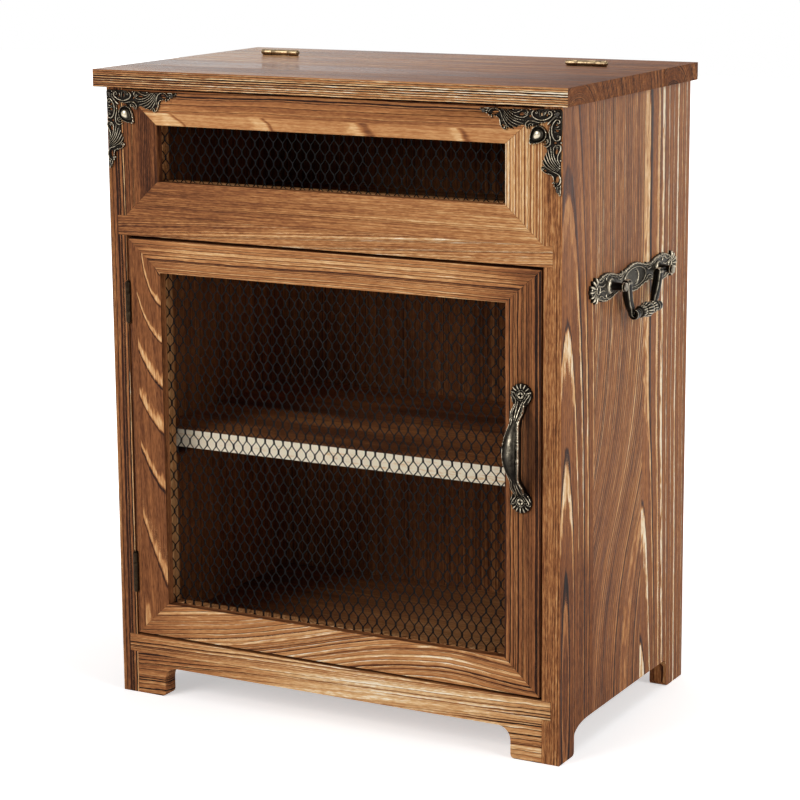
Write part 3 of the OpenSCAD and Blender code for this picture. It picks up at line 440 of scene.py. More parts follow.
boards = {
    "window_top_rail": dict(along="x", face="-y", side=reveal, fades=[(0, -0.1, 1, 1), (0.12, -0.02, 1, 1),
        (1, -0.02, 1, 1)], zones=[
        (10.5, grow(0.68, 0.7, 0.3, 0, 28, 3, (-34, 118), 4, lean=(0, 0.3), fibre=0.8, band=0.16, width=0.06,
            vary=0.3, offset=0.1)),
        (999, grow(0.54, 1.45, 0.3, 0, 5.2, 2.2, (70, 12), 4.3, fibre=0.8, band=0.6, width=0.24))]),
    "window_low_rail": dict(along="x", face="-y", side=reveal, fades=[(0, -0.08, 1, 1), (0.25, -0.03, 1, 1),
        (0.6, 0.1, 1, 1), (1, 0.19, 1, 1)], zones=[
        (999, grow(0.49, 0.3, 0.2, 0, 2.3, 1, (-70, 20), 7, fibre=1.15))]),
    "window_left_stile": dict(along="z", face="-y", side=reveal, zones=[
        (16, grow(0.36, 1.3, 0.5, 0.2, 3.6, 1, (90, 10), 8)),
        (999, grow(0.34, 0.6, 0.25, 0.5, 2, 0.6, (60, 10), 9, fibre=1.2))]),
    "window_right_stile": dict(along="z", face="-y", side=reveal, zones=[
        (999, grow(0.73, 0.85, 0.4, 0, 2.6, 0.5, (-90, 10), 12, fibre=0.8, band=0.6, width=0.3, vary=0.5))]),
    "divider_board": dict(along="x", face="-y", fades=[(0, -0.15, 1, 1), (0.4, 0.04, 1, 1), (1, 0.03, 1, 1)], zones=[
        (999, grow(0.6, 0.7, 0.5, 0.1, 2.2, 0.8, (60, 20), 15, lean=(0.05, 0), fibre=1.3))]),
    "floor_board": dict(along="x", face="-y", side=dim, fades=[(0, -0.14, 1.5, 1), (0.22, 0.03, 1.1, 1),
        (0.6, 0.19, 0.9, 0.7), (0.85, 0.13, 1, 0.8), (1, 0, 1.6, 1)], zones=[
        (999, grow(0.68, 1.1, 0.3, 0, 3.2, 1.8, (40, 10), 18, lean=(0.03, 0), band=0.6))]),
    "front_apron": dict(along="x", face="-y", fades=[(0, -0.2, 1.7, 1), (0.2, -0.06, 1.4, 1), (0.42, 0.12, 0.45, 0.6),
        (0.78, 0.14, 0.5, 0.6), (0.88, 0.08, 1.7, 0.8), (1, -0.04, 2, 1)], zones=[
        (999, grow(0.67, 0.9, 0.4, 0, 4.4, 2.6, (46, 10), 21, lean=(0.05, 0), band=0.5))]),
    "door_top_rail": dict(along="x", face="-y", side=reveal, fades=[(0, -0.2, 1.2, 0.7), (0.14, 0, 1, 1),
        (0.8, 0.05, 1, 1), (0.9, -0.06, 1.2, 0.9), (1, -0.22, 1.2, 0.8)], zones=[
        (999, grow(0.56, 1.1, 0.45, 0, 3.3, 1.4, (-80, 12), 24, fibre=0.8, band=0.6, width=0.24, vary=0.7))]),
    "door_low_rail": dict(along="x", face="-y", side=reveal, fades=endFades, zones=[
        (999, grow(0.6, 1.05, 0.62, 0, 4, 2, (0, 0), 27, fibre=0.8, band=0.42, width=0.2, vary=0.6,
            drift=[(0, -84, 8), (100, -70, 9), (180, -50, 10), (250, -32, 12), (310, -25, 12), (394, -34, 7)]))]),
    "door_left_stile": dict(along="z", face="-y", side=reveal, zones=[
        (7.5, grow(0.36, 1.2, 0.4, 0, 3.6, 1, (90, 10), 30)),
        (999, grow(0.39, 0.9, 0.8, 0, 12, 0.5, (22, 0), 31, lean=(-0.04, 0), fibre=0.9, band=0.2, width=0.06,
            vary=0.15, drift=[(0, 0, 86), (24, 0, 84), (69, 0, 80), (114, 0, 73.8), (180, 0, 60), (229, 0, 46),
            (265, 0, 34.4), (293, 0, 24), (329, 0, 9), (355, 0, -2)]))]),
    "door_right_stile": dict(along="z", face="-y", side=reveal, zones=[
        (999, grow(0.43, 1.3, 0.35, 0, 3.9, 1.1, (100, 12), 33, fibre=0.8, band=0.5, width=0.34, vary=0.7))]),
    "left_side": dict(along="z", face="-x", inner=dim, front=grow(0.395, 1.4, 0.72, 0, 3.6, 1.4, (60, 8), 43,
        width=0.34), fades=sideFades, zones=[
        (74, grow(0.37, 0.9, 0.7, 0.4, 9.4, 1.5, (-14, 20), 36, lean=(0, 0.06), band=0.18, width=0.1, vary=0.4)),
        (170, grow(0.42, 0.6, 0.8, 0.1, 3.8, 1, (110, 20), 38, lean=(0.1, 0), band=0.5, width=0.16, vary=0.5)),
        (999, grow(0.41, 0.9, 0.8, 0.4, 9, 1.5, (0, 30), 40, lean=(0.03, 0.05), band=0.18, width=0.1, vary=0.5))]),
    "right_side": dict(along="z", face="+x", inner=dim, front=grow(0.5, 0.8, 0.3, 0.1, 2.2, 0.7, (60, 10), 44,
        fibre=1.6), fades=sideFades, zones=[
        (66, grow(0.395, 1, 1, 0.45, 9.6, 1.5, (-21, 19), 42, lean=(0, 0.09), band=0.27, width=0.12, vary=0.2,
            offset=0.03, fades=[(0, -0.06, 0.8, 0.5, 0), (0.27, -0.05, 0.9, 0.6, 0), (0.36, 0.02, 1, 1, 0.05),
            (0.66, 0.02, 1, 1, 0.15), (0.76, 0.09, 0.6, 0.4, 0.45), (1, 0.07, 0.5, 0.35, 0.8)])),
        (167, grow(0.415, 0.75, 0.9, 0.4, 3.9, 0.6, (110, 12), 45, width=0.2, vary=0.5,
            fades=[(0, -0.03, 1, 0.35, 0.12), (0.3, 0.02, 1, 0.65, 0.2), (0.6, 0.05, 1, 1, 0.3),
            (1, 0.06, 1, 0.8, 0.85)], drift=[(0, -96, 0), (60, -94, 0), (100, -88, 0), (140, -76, 0), (170, -62, 0),
            (200, -46, 0), (240, -28, 0), (280, -16, 0), (340, -5, 0), (400, 0, 0), (542, 0, 0)])),
        (999, grow(0.42, 1.1, 1.1, 0.4, 8.8, 1.2, (-48.5, 0), 47, band=0.2, width=0.1, vary=0.4, offset=-0.18,
            drift=[(0, 0, 12), (72, 0, 19.2), (180, 0, 28), (260, 0, 33), (400, 0, 34), (542, 0, 34)]))]),
    "lid_board": dict(along="x", face="+z", side=endBoard, front=grow(0.6, 1.6, 0.7, 0, 1.9, 0.3, (60, 8), 51,
        band=0.6, width=0.36, vary=0.35, fades=[(0, -0.22, 1.1, 1.3), (0.3, -0.11, 1.1, 1.1), (1, 0.02, 1.1, 1)]),
        fades=topSheenFades, zones=[
        (60, grow(0.37, 1, 0.5, 0.5, 3.4, 1.5, (-60, 10), 50)),
        (105, grow(0.33, 0.9, 0.5, 0.7, 3.4, 1.5, (50, 12), 52)),
        (155, grow(0.38, 1, 0.5, 0.5, 3.6, 2, (-54, 12), 55)),
        (999, grow(0.41, 0.9, 0.5, 0.5, 3.4, 1.5, (40, 12), 57))]),
    "rear_top_board": dict(along="x", face="+z", side=grow(0.46, 1, 0.3, 0, 2.8, 0.8, (-26, 20), 61), fades=topSheenFades,
        zones=[
        (999, grow(0.4, 1, 0.5, 0.5, 3.4, 2, (-50, 12), 60))]),
    "back_panel": dict(along="z", face="+y", inner=dim, zones=[
        (130, grow(0.32, 0.5, 0.4, 0.2, 7, 2, (0, 50), 63, lean=(0, 0.04))),
        (280, grow(0.29, 0.5, 0.4, 0.2, 7, 2, (30, 50), 65, lean=(0, 0.03))),
        (999, grow(0.33, 0.5, 0.4, 0.2, 7, 2, (-20, 60), 67, lean=(0, 0.05)))]),
    "window_battens": dict(along="x", face="-y", zones=[
        (999, grow(0.66, 0.4, 0.3, 0.2, 3, 1, (0, 40), 70))]),
    "door_battens": dict(along="z", face="-y", zones=[
        (999, grow(0.7, 0.5, 0.3, 0.2, 3, 1, (0, 40), 72))]),
    "shelf_cleats": dict(along="y", face="-x", zones=[
        (999, grow(0.3, 0.7, 0.3, 0.2, 3, 1, (0, 40), 74))]),
    # the shelf's front edge is its pale wood pushed to the palette's top, partly a painted highlight for the light on
    # it; its top is darker and greyed, a painted shade
    "shelf_board": dict(along="x", face="+z", front=grow(1.06, 0.25, 0.1, 0, 2.4, 1, (0, 60), 77, fibre=0.8), zones=[
        (110, grow(0.52, 0.3, 0.1, 1, 4, 1, (20, 50), 76, fibre=1.4)),
        (999, grow(0.5, 0.3, 0.1, 1, 4, 1, (-20, 40), 78, fibre=1.4))]),
}
softening = {"chamfer": 0.45, "sharpAngle": 40, "leastHole": 13, "reach": 10}  # mm, degrees, mm, mm
polished = ("lid_board", "rear_top_board", "left_side", "right_side")


def softenEdges(mesh, values):  # takes the hard corners off a board, but leaves its small holes alone
    known, chosen = set(sharpEdges(mesh, values["sharpAngle"])), []
    while known:
        loop, todo = [], [known.pop()]
        while todo:
            edge = todo.pop()
            loop.append(edge)
            near = [other for vert in edge.verts for other in vert.link_edges if other in known]
            known.difference_update(near)
            todo += near
        corners = [vert.co for edge in loop for vert in edge.verts]
        across = max(max(co[i] for co in corners) - min(co[i] for co in corners) for i in range(3))
        if across > values["leastHole"] * mm:
            chosen += loop
    bevel(mesh, chosen, values["chamfer"], 0.6)


def grainFrame(board, zone, low, high, zoneLow, zoneHigh):
    along, through = axisNumber[board["along"]], axisNumber[board["face"][1]]
    across = 3 - along - through
    outward = 1 if board["face"][0] == "+" else -1
    faceAt = high[through] if outward > 0 else low[through]
    heartAcross = (zoneLow + zoneHigh) / 2 + zone["heart"][0] * mm
    middle = (low[along] + high[along]) / 2
    drift = np.array(zone.get("drift", [(0, 0, 0)]), dtype=float) * mm

    def drifted(at, column):  # averaged over a short reach, so the given rows make a smooth course
        spots = [at - low[along] + reach * mm for reach in (-16, -8, 0, 8, 16)]
        return float(np.mean(np.interp(spots, drift[:, 0], drift[:, column])))

    def place(co):
        w = co[along] - middle
        u = co[across] - heartAcross - zone["lean"][0] * w - drifted(co[along], 1)
        v = (co[through] - faceAt) * outward + zone["heart"][1] * mm + zone["lean"][1] * w + drifted(co[along], 2)
        return (u, v, w), (u, co[through], w)
    return place


def dressBoard(name, board, material, values):
    low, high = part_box(name)
    along, through = axisNumber[board["along"]], axisNumber[board["face"][1]]
    across = 3 - along - through
    outward = 1 if board["face"][0] == "+" else -1
    zones = [zone for _, zone in board["zones"]]
    ends = [min(low[across] + end * mm, high[across]) for end, _ in board["zones"]]
    fades = board.get("fades", [(0, 0, 1, 1), (1, 0, 1, 1)])
    cuts = [low[along] + row[0] * (high[along] - low[along]) for row in fades[1:-1]]
    if any("drift" in zone or "fades" in zone for zone in zones):
        step = values["reach"] * mm
        cuts += list(np.arange(low[along] + step, high[along] - step / 2, step))
    mesh = packedMesh(name, 0.5)
    softenEdges(mesh, values)
    for axis, places in ((across, ends[:-1]), (along, cuts)):
        for at in places:
            halve(mesh, axis, at)
    bmesh.ops.triangulate(mesh, faces=[face for face in mesh.faces if len(face.verts) > 4])
    grain, fibres = (mesh.loops.layers.float_vector.new(each) for each in ("grain", "fibres"))
    growth, stain, figure = (mesh.loops.layers.float_color.new(each) for each in ("growth", "stain", "figure"))
    edge = mesh.loops.layers.float.new("edge")
    placers = [grainFrame(board, zone, low, high, start, end)
               for zone, start, end in zip(zones, [low[across]] + ends, ends)]
    special = {}
    for key in ("front", "side", "inner"):
        if key in board:
            special[key] = len(zones)
            zones.append(board[key])
            facing = board if key == "inner" or along == 1 else dict(board, face="-y")
            upright = 3 - along - axisNumber[facing["face"][1]]
            placers.append(grainFrame(facing, zones[-1], low, high, low[upright], high[upright]))
    for face in mesh.faces:
        middle = face.calc_center_median()
        number = next((i for i, end in enumerate(ends) if middle[across] <= end + 1e-6), len(ends) - 1)
        facing = face.normal[through] * outward
        for key, holds in (("side", facing <= 0.7), ("inner", facing < -0.7), ("front", face.normal.y < -0.7)):
            if holds and key in special:
                number = special[key]
        zone = zones[number]
        fading = np.array([tuple(row) + (1,) * (5 - len(row)) for row in zone.get("fades", fades)], dtype=float)
        darker = 0.08 if abs(face.normal[along]) > 0.8 else 0  # end grain
        slanted = max(abs(part) for part in face.normal) < 0.95 and face.calc_area() < 1e-3
        for loop in face.loops:
            share = (loop.vert.co[along] - low[along]) / (high[along] - low[along])
            tone, line, crest, haze = (float(np.interp(share, fading[:, 0], fading[:, k])) for k in (1, 2, 3, 4))
            loop[grain], loop[fibres] = placers[number](loop.vert.co)
            loop[growth] = (zone["spacing"], zone["wander"], zone["seed"], zone["fibre"])
            loop[stain] = (zone["tone"] + tone - darker, zone["line"] * line, zone["crest"] * crest,
                           zone["smokeAndShade"] * haze * (1.0 if facing > 0.7 else 0.3))
            loop[figure] = (zone["band"], zone["width"], zone["vary"], zone["offset"])
            loop[edge] = 1.0 if slanted else 0.0
    hand(newObject(name + ".wood", mesh, material, 20), name)


for name, board in boards.items():
    dressBoard(name, board, pineTop if name in polished else pine, softening)
print("boards dressed:", len(boards))


# ---- wire netting ----
netting = {  # mm, but for the turns, the sides of a wire and the seed
    "pitch": 9.0, "rowPitch": 8.1, "twistLength": 3.7, "twistTurns": 1.5, "wire": 1.16, "twistWire": 1.25,
    "spread": 0.5,
    "knee": 0.55, "sides": 3, "jitter": 0.45, "behindFace": 8.9, "depthScale": 0.75, "seed": 5,
}


def tube(mesh, path, radii, sides, turn):  # along a path in the XZ plane
    rings = []
    for number, point in enumerate(path):
        ahead = path[min(number + 1, len(path) - 1)] - path[max(number - 1, 0)]
        level = Vector((ahead.x, 0, ahead.z)).normalized()
        side = Vector((level.z, 0, -level.x))
        angles = [turn + 2 * math.pi * k / sides for k in range(sides)]
        offsets = [side * math.cos(angle) + Vector((0, math.sin(angle), 0)) for angle in angles]
        rings.append([mesh.verts.new(point + offset * radii[number]) for offset in offsets])
    joinRings(mesh, rings, capped=False)


def wireUnit(values):  # two strands twisted round each other, each running to the middle of its two diagonals
    half = Vector((values["pitch"] / 4, 0, values["rowPitch"] / 2)) * mm
    turns, spread, twistLength = values["twistTurns"], values["spread"], values["twistLength"]
    steps = round(turns * 4)
    mesh = bmesh.new()
    for side in (-1, 1):
        angles = [math.pi + 2 * math.pi * turns * k / steps for k in range(steps + 1)]
        twist = [Vector((side * spread * math.cos(angle), side * spread * math.sin(angle),
                         twistLength * (k / steps - 0.5))) * mm for k, angle in enumerate(angles)]
        end = Vector((side * half.x, 0, half.z))
        knee = Vector((side * values["pitch"] * 0.09 * mm, 0, (twistLength / 2 + values["knee"]) * mm))
        path = [-end, -knee] + twist + [knee, end]
        thick = [1.0] * 2 + [values["twistWire"]] * len(twist) + [1.0] * 2
        tube(mesh, path, [values["wire"] / 2 * mm * share for share in thick], values["sides"], math.pi / 2)
    return newObject("wireUnit", mesh)


def nettingTree():
    inputs = {"Geometry": "Geometry", "Columns": "Int", "Rows": "Int", "Pitch": "Float", "Row Pitch": "Float",
              "Jitter": "Float", "Seed": "Float", "Wire": "Object", "Finish": "Material"}
    tree, given, result = newTree("nettingRows", "GeometryNodeTree", inputs, {"Geometry": "Geometry"})
    columns, rows, pitch = given["Columns"], given["Rows"], given["Pitch"]
    grid = addNode(tree, "GeometryNodeMeshGrid", {
        "Vertices X": columns, "Vertices Y": rows, "Size X": (columns - 1.0) * pitch,
        "Size Y": (rows - 1.0) * given["Row Pitch"]}, "Mesh")
    row = calc(tree, "MODULO", addNode(tree, "GeometryNodeInputIndex", {}), rows)
    odd = calc(tree, "MODULO", row, 2.0) * (pitch * 0.5)
    spot = split(tree, addNode(tree, "GeometryNodeInputPosition", {}))
    upright = addNode(tree, "ShaderNodeCombineXYZ", {0: spot[0] + odd, 2: spot[1]})
    stood = addNode(tree, "GeometryNodeSetPosition", {"Geometry": grid, "Position": upright})
    strand = addNode(tree, "GeometryNodeObjectInfo", {"Object": given["Wire"]}, "Geometry")
    copies = addNode(tree, "GeometryNodeInstanceOnPoints", {"Points": stood, "Instance": strand})
    solid = addNode(tree, "GeometryNodeRealizeInstances", {0: copies})
    merged = addNode(tree, "GeometryNodeMergeByDistance", {"Geometry": solid, "Distance": 0.03 * mm})
    wobble = addNode(tree, "ShaderNodeTexNoise", {"W": given["Seed"], "Scale": 90, "Detail": 1}, "Color",
                     noise_dimensions="4D")
    drift = vectorCalc(tree, "SUBTRACT", wobble, (0.5, 0.5, 0.5))
    spread = addNode(tree, "ShaderNodeVectorMath", {0: drift, "Scale": given["Jitter"] * 4.0}, operation="SCALE")
    moved = addNode(tree, "GeometryNodeSetPosition", {"Geometry": merged, "Offset": spread})
    feed(tree, result[0], addNode(tree, "GeometryNodeSetMaterial", {"Geometry": moved, "Material": given["Finish"]}))
    return tree


def makeNet(node, tree, unit, material, values):
    low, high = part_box(node)
    holder = link(node + ".rows", bpy.data.meshes.new("empty"))
    modifier = holder.modifiers.new("rows", "NODES")
    modifier.node_group = tree
    inputs = {"Columns": math.ceil((high.x - low.x) / mm / values["pitch"]) + 2,
              "Rows": math.ceil((high.z - low.z) / mm / values["rowPitch"]) + 2,
              "Pitch": values["pitch"] * mm, "Row Pitch": values["rowPitch"] * mm, "Jitter": values["jitter"] * mm,
              "Seed": float(values["seed"]), "Wire": unit, "Finish": material}
    for item in tree.interface.items_tree:
        if item.in_out == "INPUT" and item.name in inputs:
            modifier[item.identifier] = inputs[item.name]
    data = bakedMesh(holder)
    holder.modifiers.clear()
    bpy.data.objects.remove(holder)
    data.name = node + ".wire"
    mesh = bmesh.new()
    mesh.from_mesh(data)
    middle = Vector(((low.x + high.x) / 2, frontY + values["behindFace"] * mm, (low.z + high.z) / 2))
    for vert in mesh.verts:
        vert.co.y *= values["depthScale"]
        vert.co += middle
    for axis, at, way in ((0, low.x, -1), (0, high.x, 1), (2, low.z, -1), (2, high.z, 1)):
        cut = halve(mesh, axis, at, way, clear_outer=True)
        rim = [item for item in cut["geom_cut"] if isinstance(item, bmesh.types.BMEdge)]
        bmesh.ops.holes_fill(mesh, edges=rim, sides=0)
    bmesh.ops.recalc_face_normals(mesh, faces=mesh.faces)
    mesh.to_mesh(data)
    mesh.free()
    data.shade_smooth()
    hand(link(node + ".wire", data), node)
    print(node, "triangles:", sum(len(face.vertices) - 2 for face in data.polygons))


def makeWire():
    material, tree, shader = newMaterial("blackWire", Specular_IOR_Level=0.16)
    place = addNode(tree, "ShaderNodeTexCoord", {}, "Object")
    worn = remap(tree, noiseAt(tree, place, 900, 3, 0.6), 0.60, 0.80)
    feed(tree, shader["Base Color"], mixColour(tree, worn, srgb(4, 4, 5), srgb(15, 15, 17)))
    feed(tree, shader["Roughness"], remap(tree, noiseAt(tree, place, 400, 2), 0.3, 0.7, 0.16, 0.3))
    feed(tree, shader["Normal"], bumpFrom(tree, noiseAt(tree, place, 3000, 2), 0.00006, 0.6))
    return material


blackWire = makeWire()
unitObject = wireUnit(netting)
rowsTree = nettingTree()
makeNet("door_mesh", rowsTree, unitObject, blackWire, netting)
makeNet("window_mesh", rowsTree, unitObject, blackWire, dict(netting, seed=11))
bpy.data.objects.remove(unitObject)
print("netting ready")


# ---- cast metal ----
# A casting is drawn flat in mm. Each stroke is a curve through points with a half width and a height. "inside" is
# the distance to the outline, above 0 where there is metal, and "back" and "height" are how far its faces stand out.
# "base" and "shine" set how much of the dark finish is rubbed off, but on the pull's dome and the bracket's
# drop "shine" is a painted highlight.
def curveThrough(points, steps=7):
    rows = np.array(points, dtype=float)
    padded = np.vstack([2 * rows[0] - rows[1], rows, 2 * rows[-1] - rows[-2]])
    curve = []
    for i in range(1, len(padded) - 2):
        a, b, c, d = padded[i - 1:i + 3]
        for t in np.arange(steps) / steps:
            curve.append(b + 0.5 * t * (c - a + t * (2 * a - 5 * b + 4 * c - d + t * (3 * (b - c) + d - a))))
    curve.append(rows[-1])
    return np.array(curve)


def newCasting(low, high, step):
    u, v = np.meshgrid(*(np.arange(low[i], high[i] + step, step) for i in (0, 1)), indexing="ij")
    return {"u": u, "v": v, "step": step, "inside": np.full(u.shape, -3.0), "height": np.zeros(u.shape)}


def nearby(cast, start, end, reach):
    spans = []
    for axis, grid in ((0, cast["u"][:, 0]), (1, cast["v"][0])):
        low, high = min(start[axis], end[axis]) - reach, max(start[axis], end[axis]) + reach
        spans.append(slice(int(np.searchsorted(grid, low)), int(np.searchsorted(grid, high))))
    return tuple(spans)


def stroke(cast, points, steps=7, carve=False):  # carve cuts a groove as deep as the stroke is high
    curve = curveThrough(points, steps)
    depth = np.zeros(cast["u"].shape)
    for start, end in zip(curve, curve[1:]):
        spot = nearby(cast, start, end, max(start[2], end[2]) + 1.5)
        u, v = cast["u"][spot], cast["v"][spot]
        du, dv = end[0] - start[0], end[1] - start[1]
        t = np.clip(((u - start[0]) * du + (v - start[1]) * dv) / max(du * du + dv * dv, 1e-9), 0, 1)
        away = np.hypot(u - start[0] - t * du, v - start[1] - t * dv)
        width = np.maximum(start[2] + t * (end[2] - start[2]), 0.05)
        dome = (start[3] + t * (end[3] - start[3])) * np.sqrt(np.clip(1 - (away / width) ** 2, 0, 1))
        if carve:
            depth[spot] = np.maximum(depth[spot], dome)
        else:
            cast["inside"][spot] = np.maximum(cast["inside"][spot], width - away)
            cast["height"][spot] = np.maximum(cast["height"][spot], dome)
    if carve:
        cast["height"] -= depth


def mirroredStrokes(cast, curves, way, steps=7):  # each curve above and below, on the end that way names
    for side in (-1, 1):
        for rows in curves:
            stroke(cast, [(way * u, side * v, width, height) for u, v, width, height in rows], steps)


def circle(cast, u, radius, width, height):
    turns = np.linspace(0, 2 * math.pi, 17)
    stroke(cast, [(u + radius * math.cos(turn), radius * math.sin(turn), width, height) for turn in turns], 2)


def fan(cast, way, centre, apart, rows, wide=1.0, tall=1.0):  # seven rays round an end, apart in degrees
    for turn in (math.radians(number * apart) for number in range(-3, 4)):
        stroke(cast, [(way * (centre + reach * math.cos(turn) * wide), reach * math.sin(turn) * tall, width, height)
                      for reach, width, height in rows], 6)


def opening(cast, u, v, radiusU, radiusV, turn=0.0):
    c, s = math.cos(math.radians(turn)), math.sin(math.radians(turn))
    du, dv = cast["u"] - u, cast["v"] - v
    ratio = np.hypot((du * c + dv * s) / radiusU, (dv * c - du * s) / radiusV)
    cast["inside"] = np.minimum(cast["inside"], (ratio - 1) * min(radiusU, radiusV))


def ridge(away, width):  # 1 on a line, falling off on both sides of it
    return np.exp(-(away / width) ** 2)


def blurred(field, times):
    for _ in range(times):
        padded = np.pad(field, 1, mode="edge")
        field = (padded[:-2, 1:-1] + padded[2:, 1:-1] + padded[1:-1, :-2] + padded[1:-1, 2:] + 4 * field) / 8
    return field


def castPiece(name, cast, place, material, rim=0.35, rounding=0.5):
    inside, step = cast["inside"], cast["step"]
    metal = inside > 0
    cells = metal[:-1, :-1] | metal[1:, :-1] | metal[:-1, 1:] | metal[1:, 1:]
    kept = np.zeros(inside.shape, bool)
    for rows in (slice(0, -1), slice(1, None)):
        for columns in (slice(0, -1), slice(1, None)):
            kept[rows, columns] |= cells
    slopeU, slopeV = np.gradient(inside, step)
    steep = np.maximum(slopeU ** 2 + slopeV ** 2, 0.2)
    reach = np.clip(-inside / steep, 0, 1.4 * step) * ~metal
    u, v = cast["u"] + reach * slopeU, cast["v"] + reach * slopeV
    floor = cast.get("back", np.zeros(inside.shape))
    height = blurred(cast["height"], 1)
    near = np.clip(inside / rounding, 0, 1)
    front = floor + rim + (height - rim) * np.sqrt(1 - (1 - near) ** 2)
    relief = height - blurred(height, 10)
    # the dark finish rubbed off the raised relief, plus the shine, which is a painted highlight on some pieces
    rubAndHighlight = np.clip(cast["base"] + 1.1 * relief + cast.get("shine", 0), 0, 1)
    count = int(kept.sum())
    numbers = np.full(inside.shape, -1)
    numbers[kept] = np.arange(count)
    corners = [place(*row) for level in (front, floor) for row in zip(u[kept], v[kept], level[kept])]
    faces = []
    for i, j in zip(*np.nonzero(cells)):
        quad = [int(numbers[i + a, j + b]) for a, b in ((0, 0), (1, 0), (1, 1), (0, 1))]
        faces.append(tuple(quad))
        faces.append(tuple(corner + count for corner in reversed(quad)))
        for a, b, first, second in ((-1, 0, 3, 0), (1, 0, 1, 2), (0, -1, 0, 1), (0, 1, 2, 3)):
            row, column = i + a, j + b
            if not (0 <= row < cells.shape[0] and 0 <= column < cells.shape[1] and cells[row, column]):
                faces.append((quad[second], quad[first], quad[first] + count, quad[second] + count))
    data = bpy.data.meshes.new(name)
    data.from_pydata(corners, [], faces)
    wearAndHighlight = data.attributes.new("rubAndHighlight", "FLOAT", "POINT")
    wearAndHighlight.data.foreach_set("value", np.concatenate([rubAndHighlight[kept], np.full(count, 0.2)]).astype(np.float32))
    mesh = bmesh.new()
    mesh.from_mesh(data)
    bmesh.ops.recalc_face_normals(mesh, faces=mesh.faces)
    mesh.to_mesh(data)
    mesh.free()
    smooth(data, 62)
    data.materials.append(material)
    return link(name, data)


def makeMetal(name, dark, pale, roughness, worn):  # worn is the rubAndHighlight value above which the pale metal shows
    material, tree, shader = newMaterial(name, Metallic=1.0)
    place = addNode(tree, "ShaderNodeTexCoord", {}, "Object")
    cloud, grit = noiseAt(tree, place, 160, 3, 0.6), noiseAt(tree, place, 700, 3, 0.6)
    # rubbed metal and painted highlights, with some noise
    wearAndHighlight = attribute(tree, "rubAndHighlight")["Fac"] + (cloud - 0.5) * 0.5 + (grit - 0.5) * 0.3
    shine = remap(tree, wearAndHighlight, worn, worn + 0.26)
    body = mixColour(tree, remap(tree, wearAndHighlight, worn - 0.3, worn + 0.1), dark, mixColour(tree, 0.13, dark, pale))
    feed(tree, shader["Base Color"], mixColour(tree, shine, body, pale))
    feed(tree, shader["Roughness"], (grit - 0.5) * 0.2 + roughness - shine * 0.12)
    feed(tree, shader["Normal"], bumpFrom(tree, grit, 0.00007, 0.8))
    return material


bronze = makeMetal("antiqueBronze", srgb(27, 24, 21), srgb(202, 190, 166), 0.40, 0.64)


# ---- corner brackets ----
bracket = {"long": 72, "down": 68, "top": 539.5, "margin": 0.8, "step": 0.32, "base": 0.8, "rib": 2.3, "rubAndHighlight": 0.36}
# the base of one arm, from its outer corner: along, across and half width
bracketBase = [(2.6, 2.6, 2.6), (10, 4.6, 4.4), (19, 6, 5.6), (28, 8, 6.2), (36, 7.2, 6.2), (43, 8.4, 7.2),
    (48.5, 8, 6.6),
               (53, 5.4, 4.2), (59, 3.2, 2.4), (64, 3.4, 2.5)]
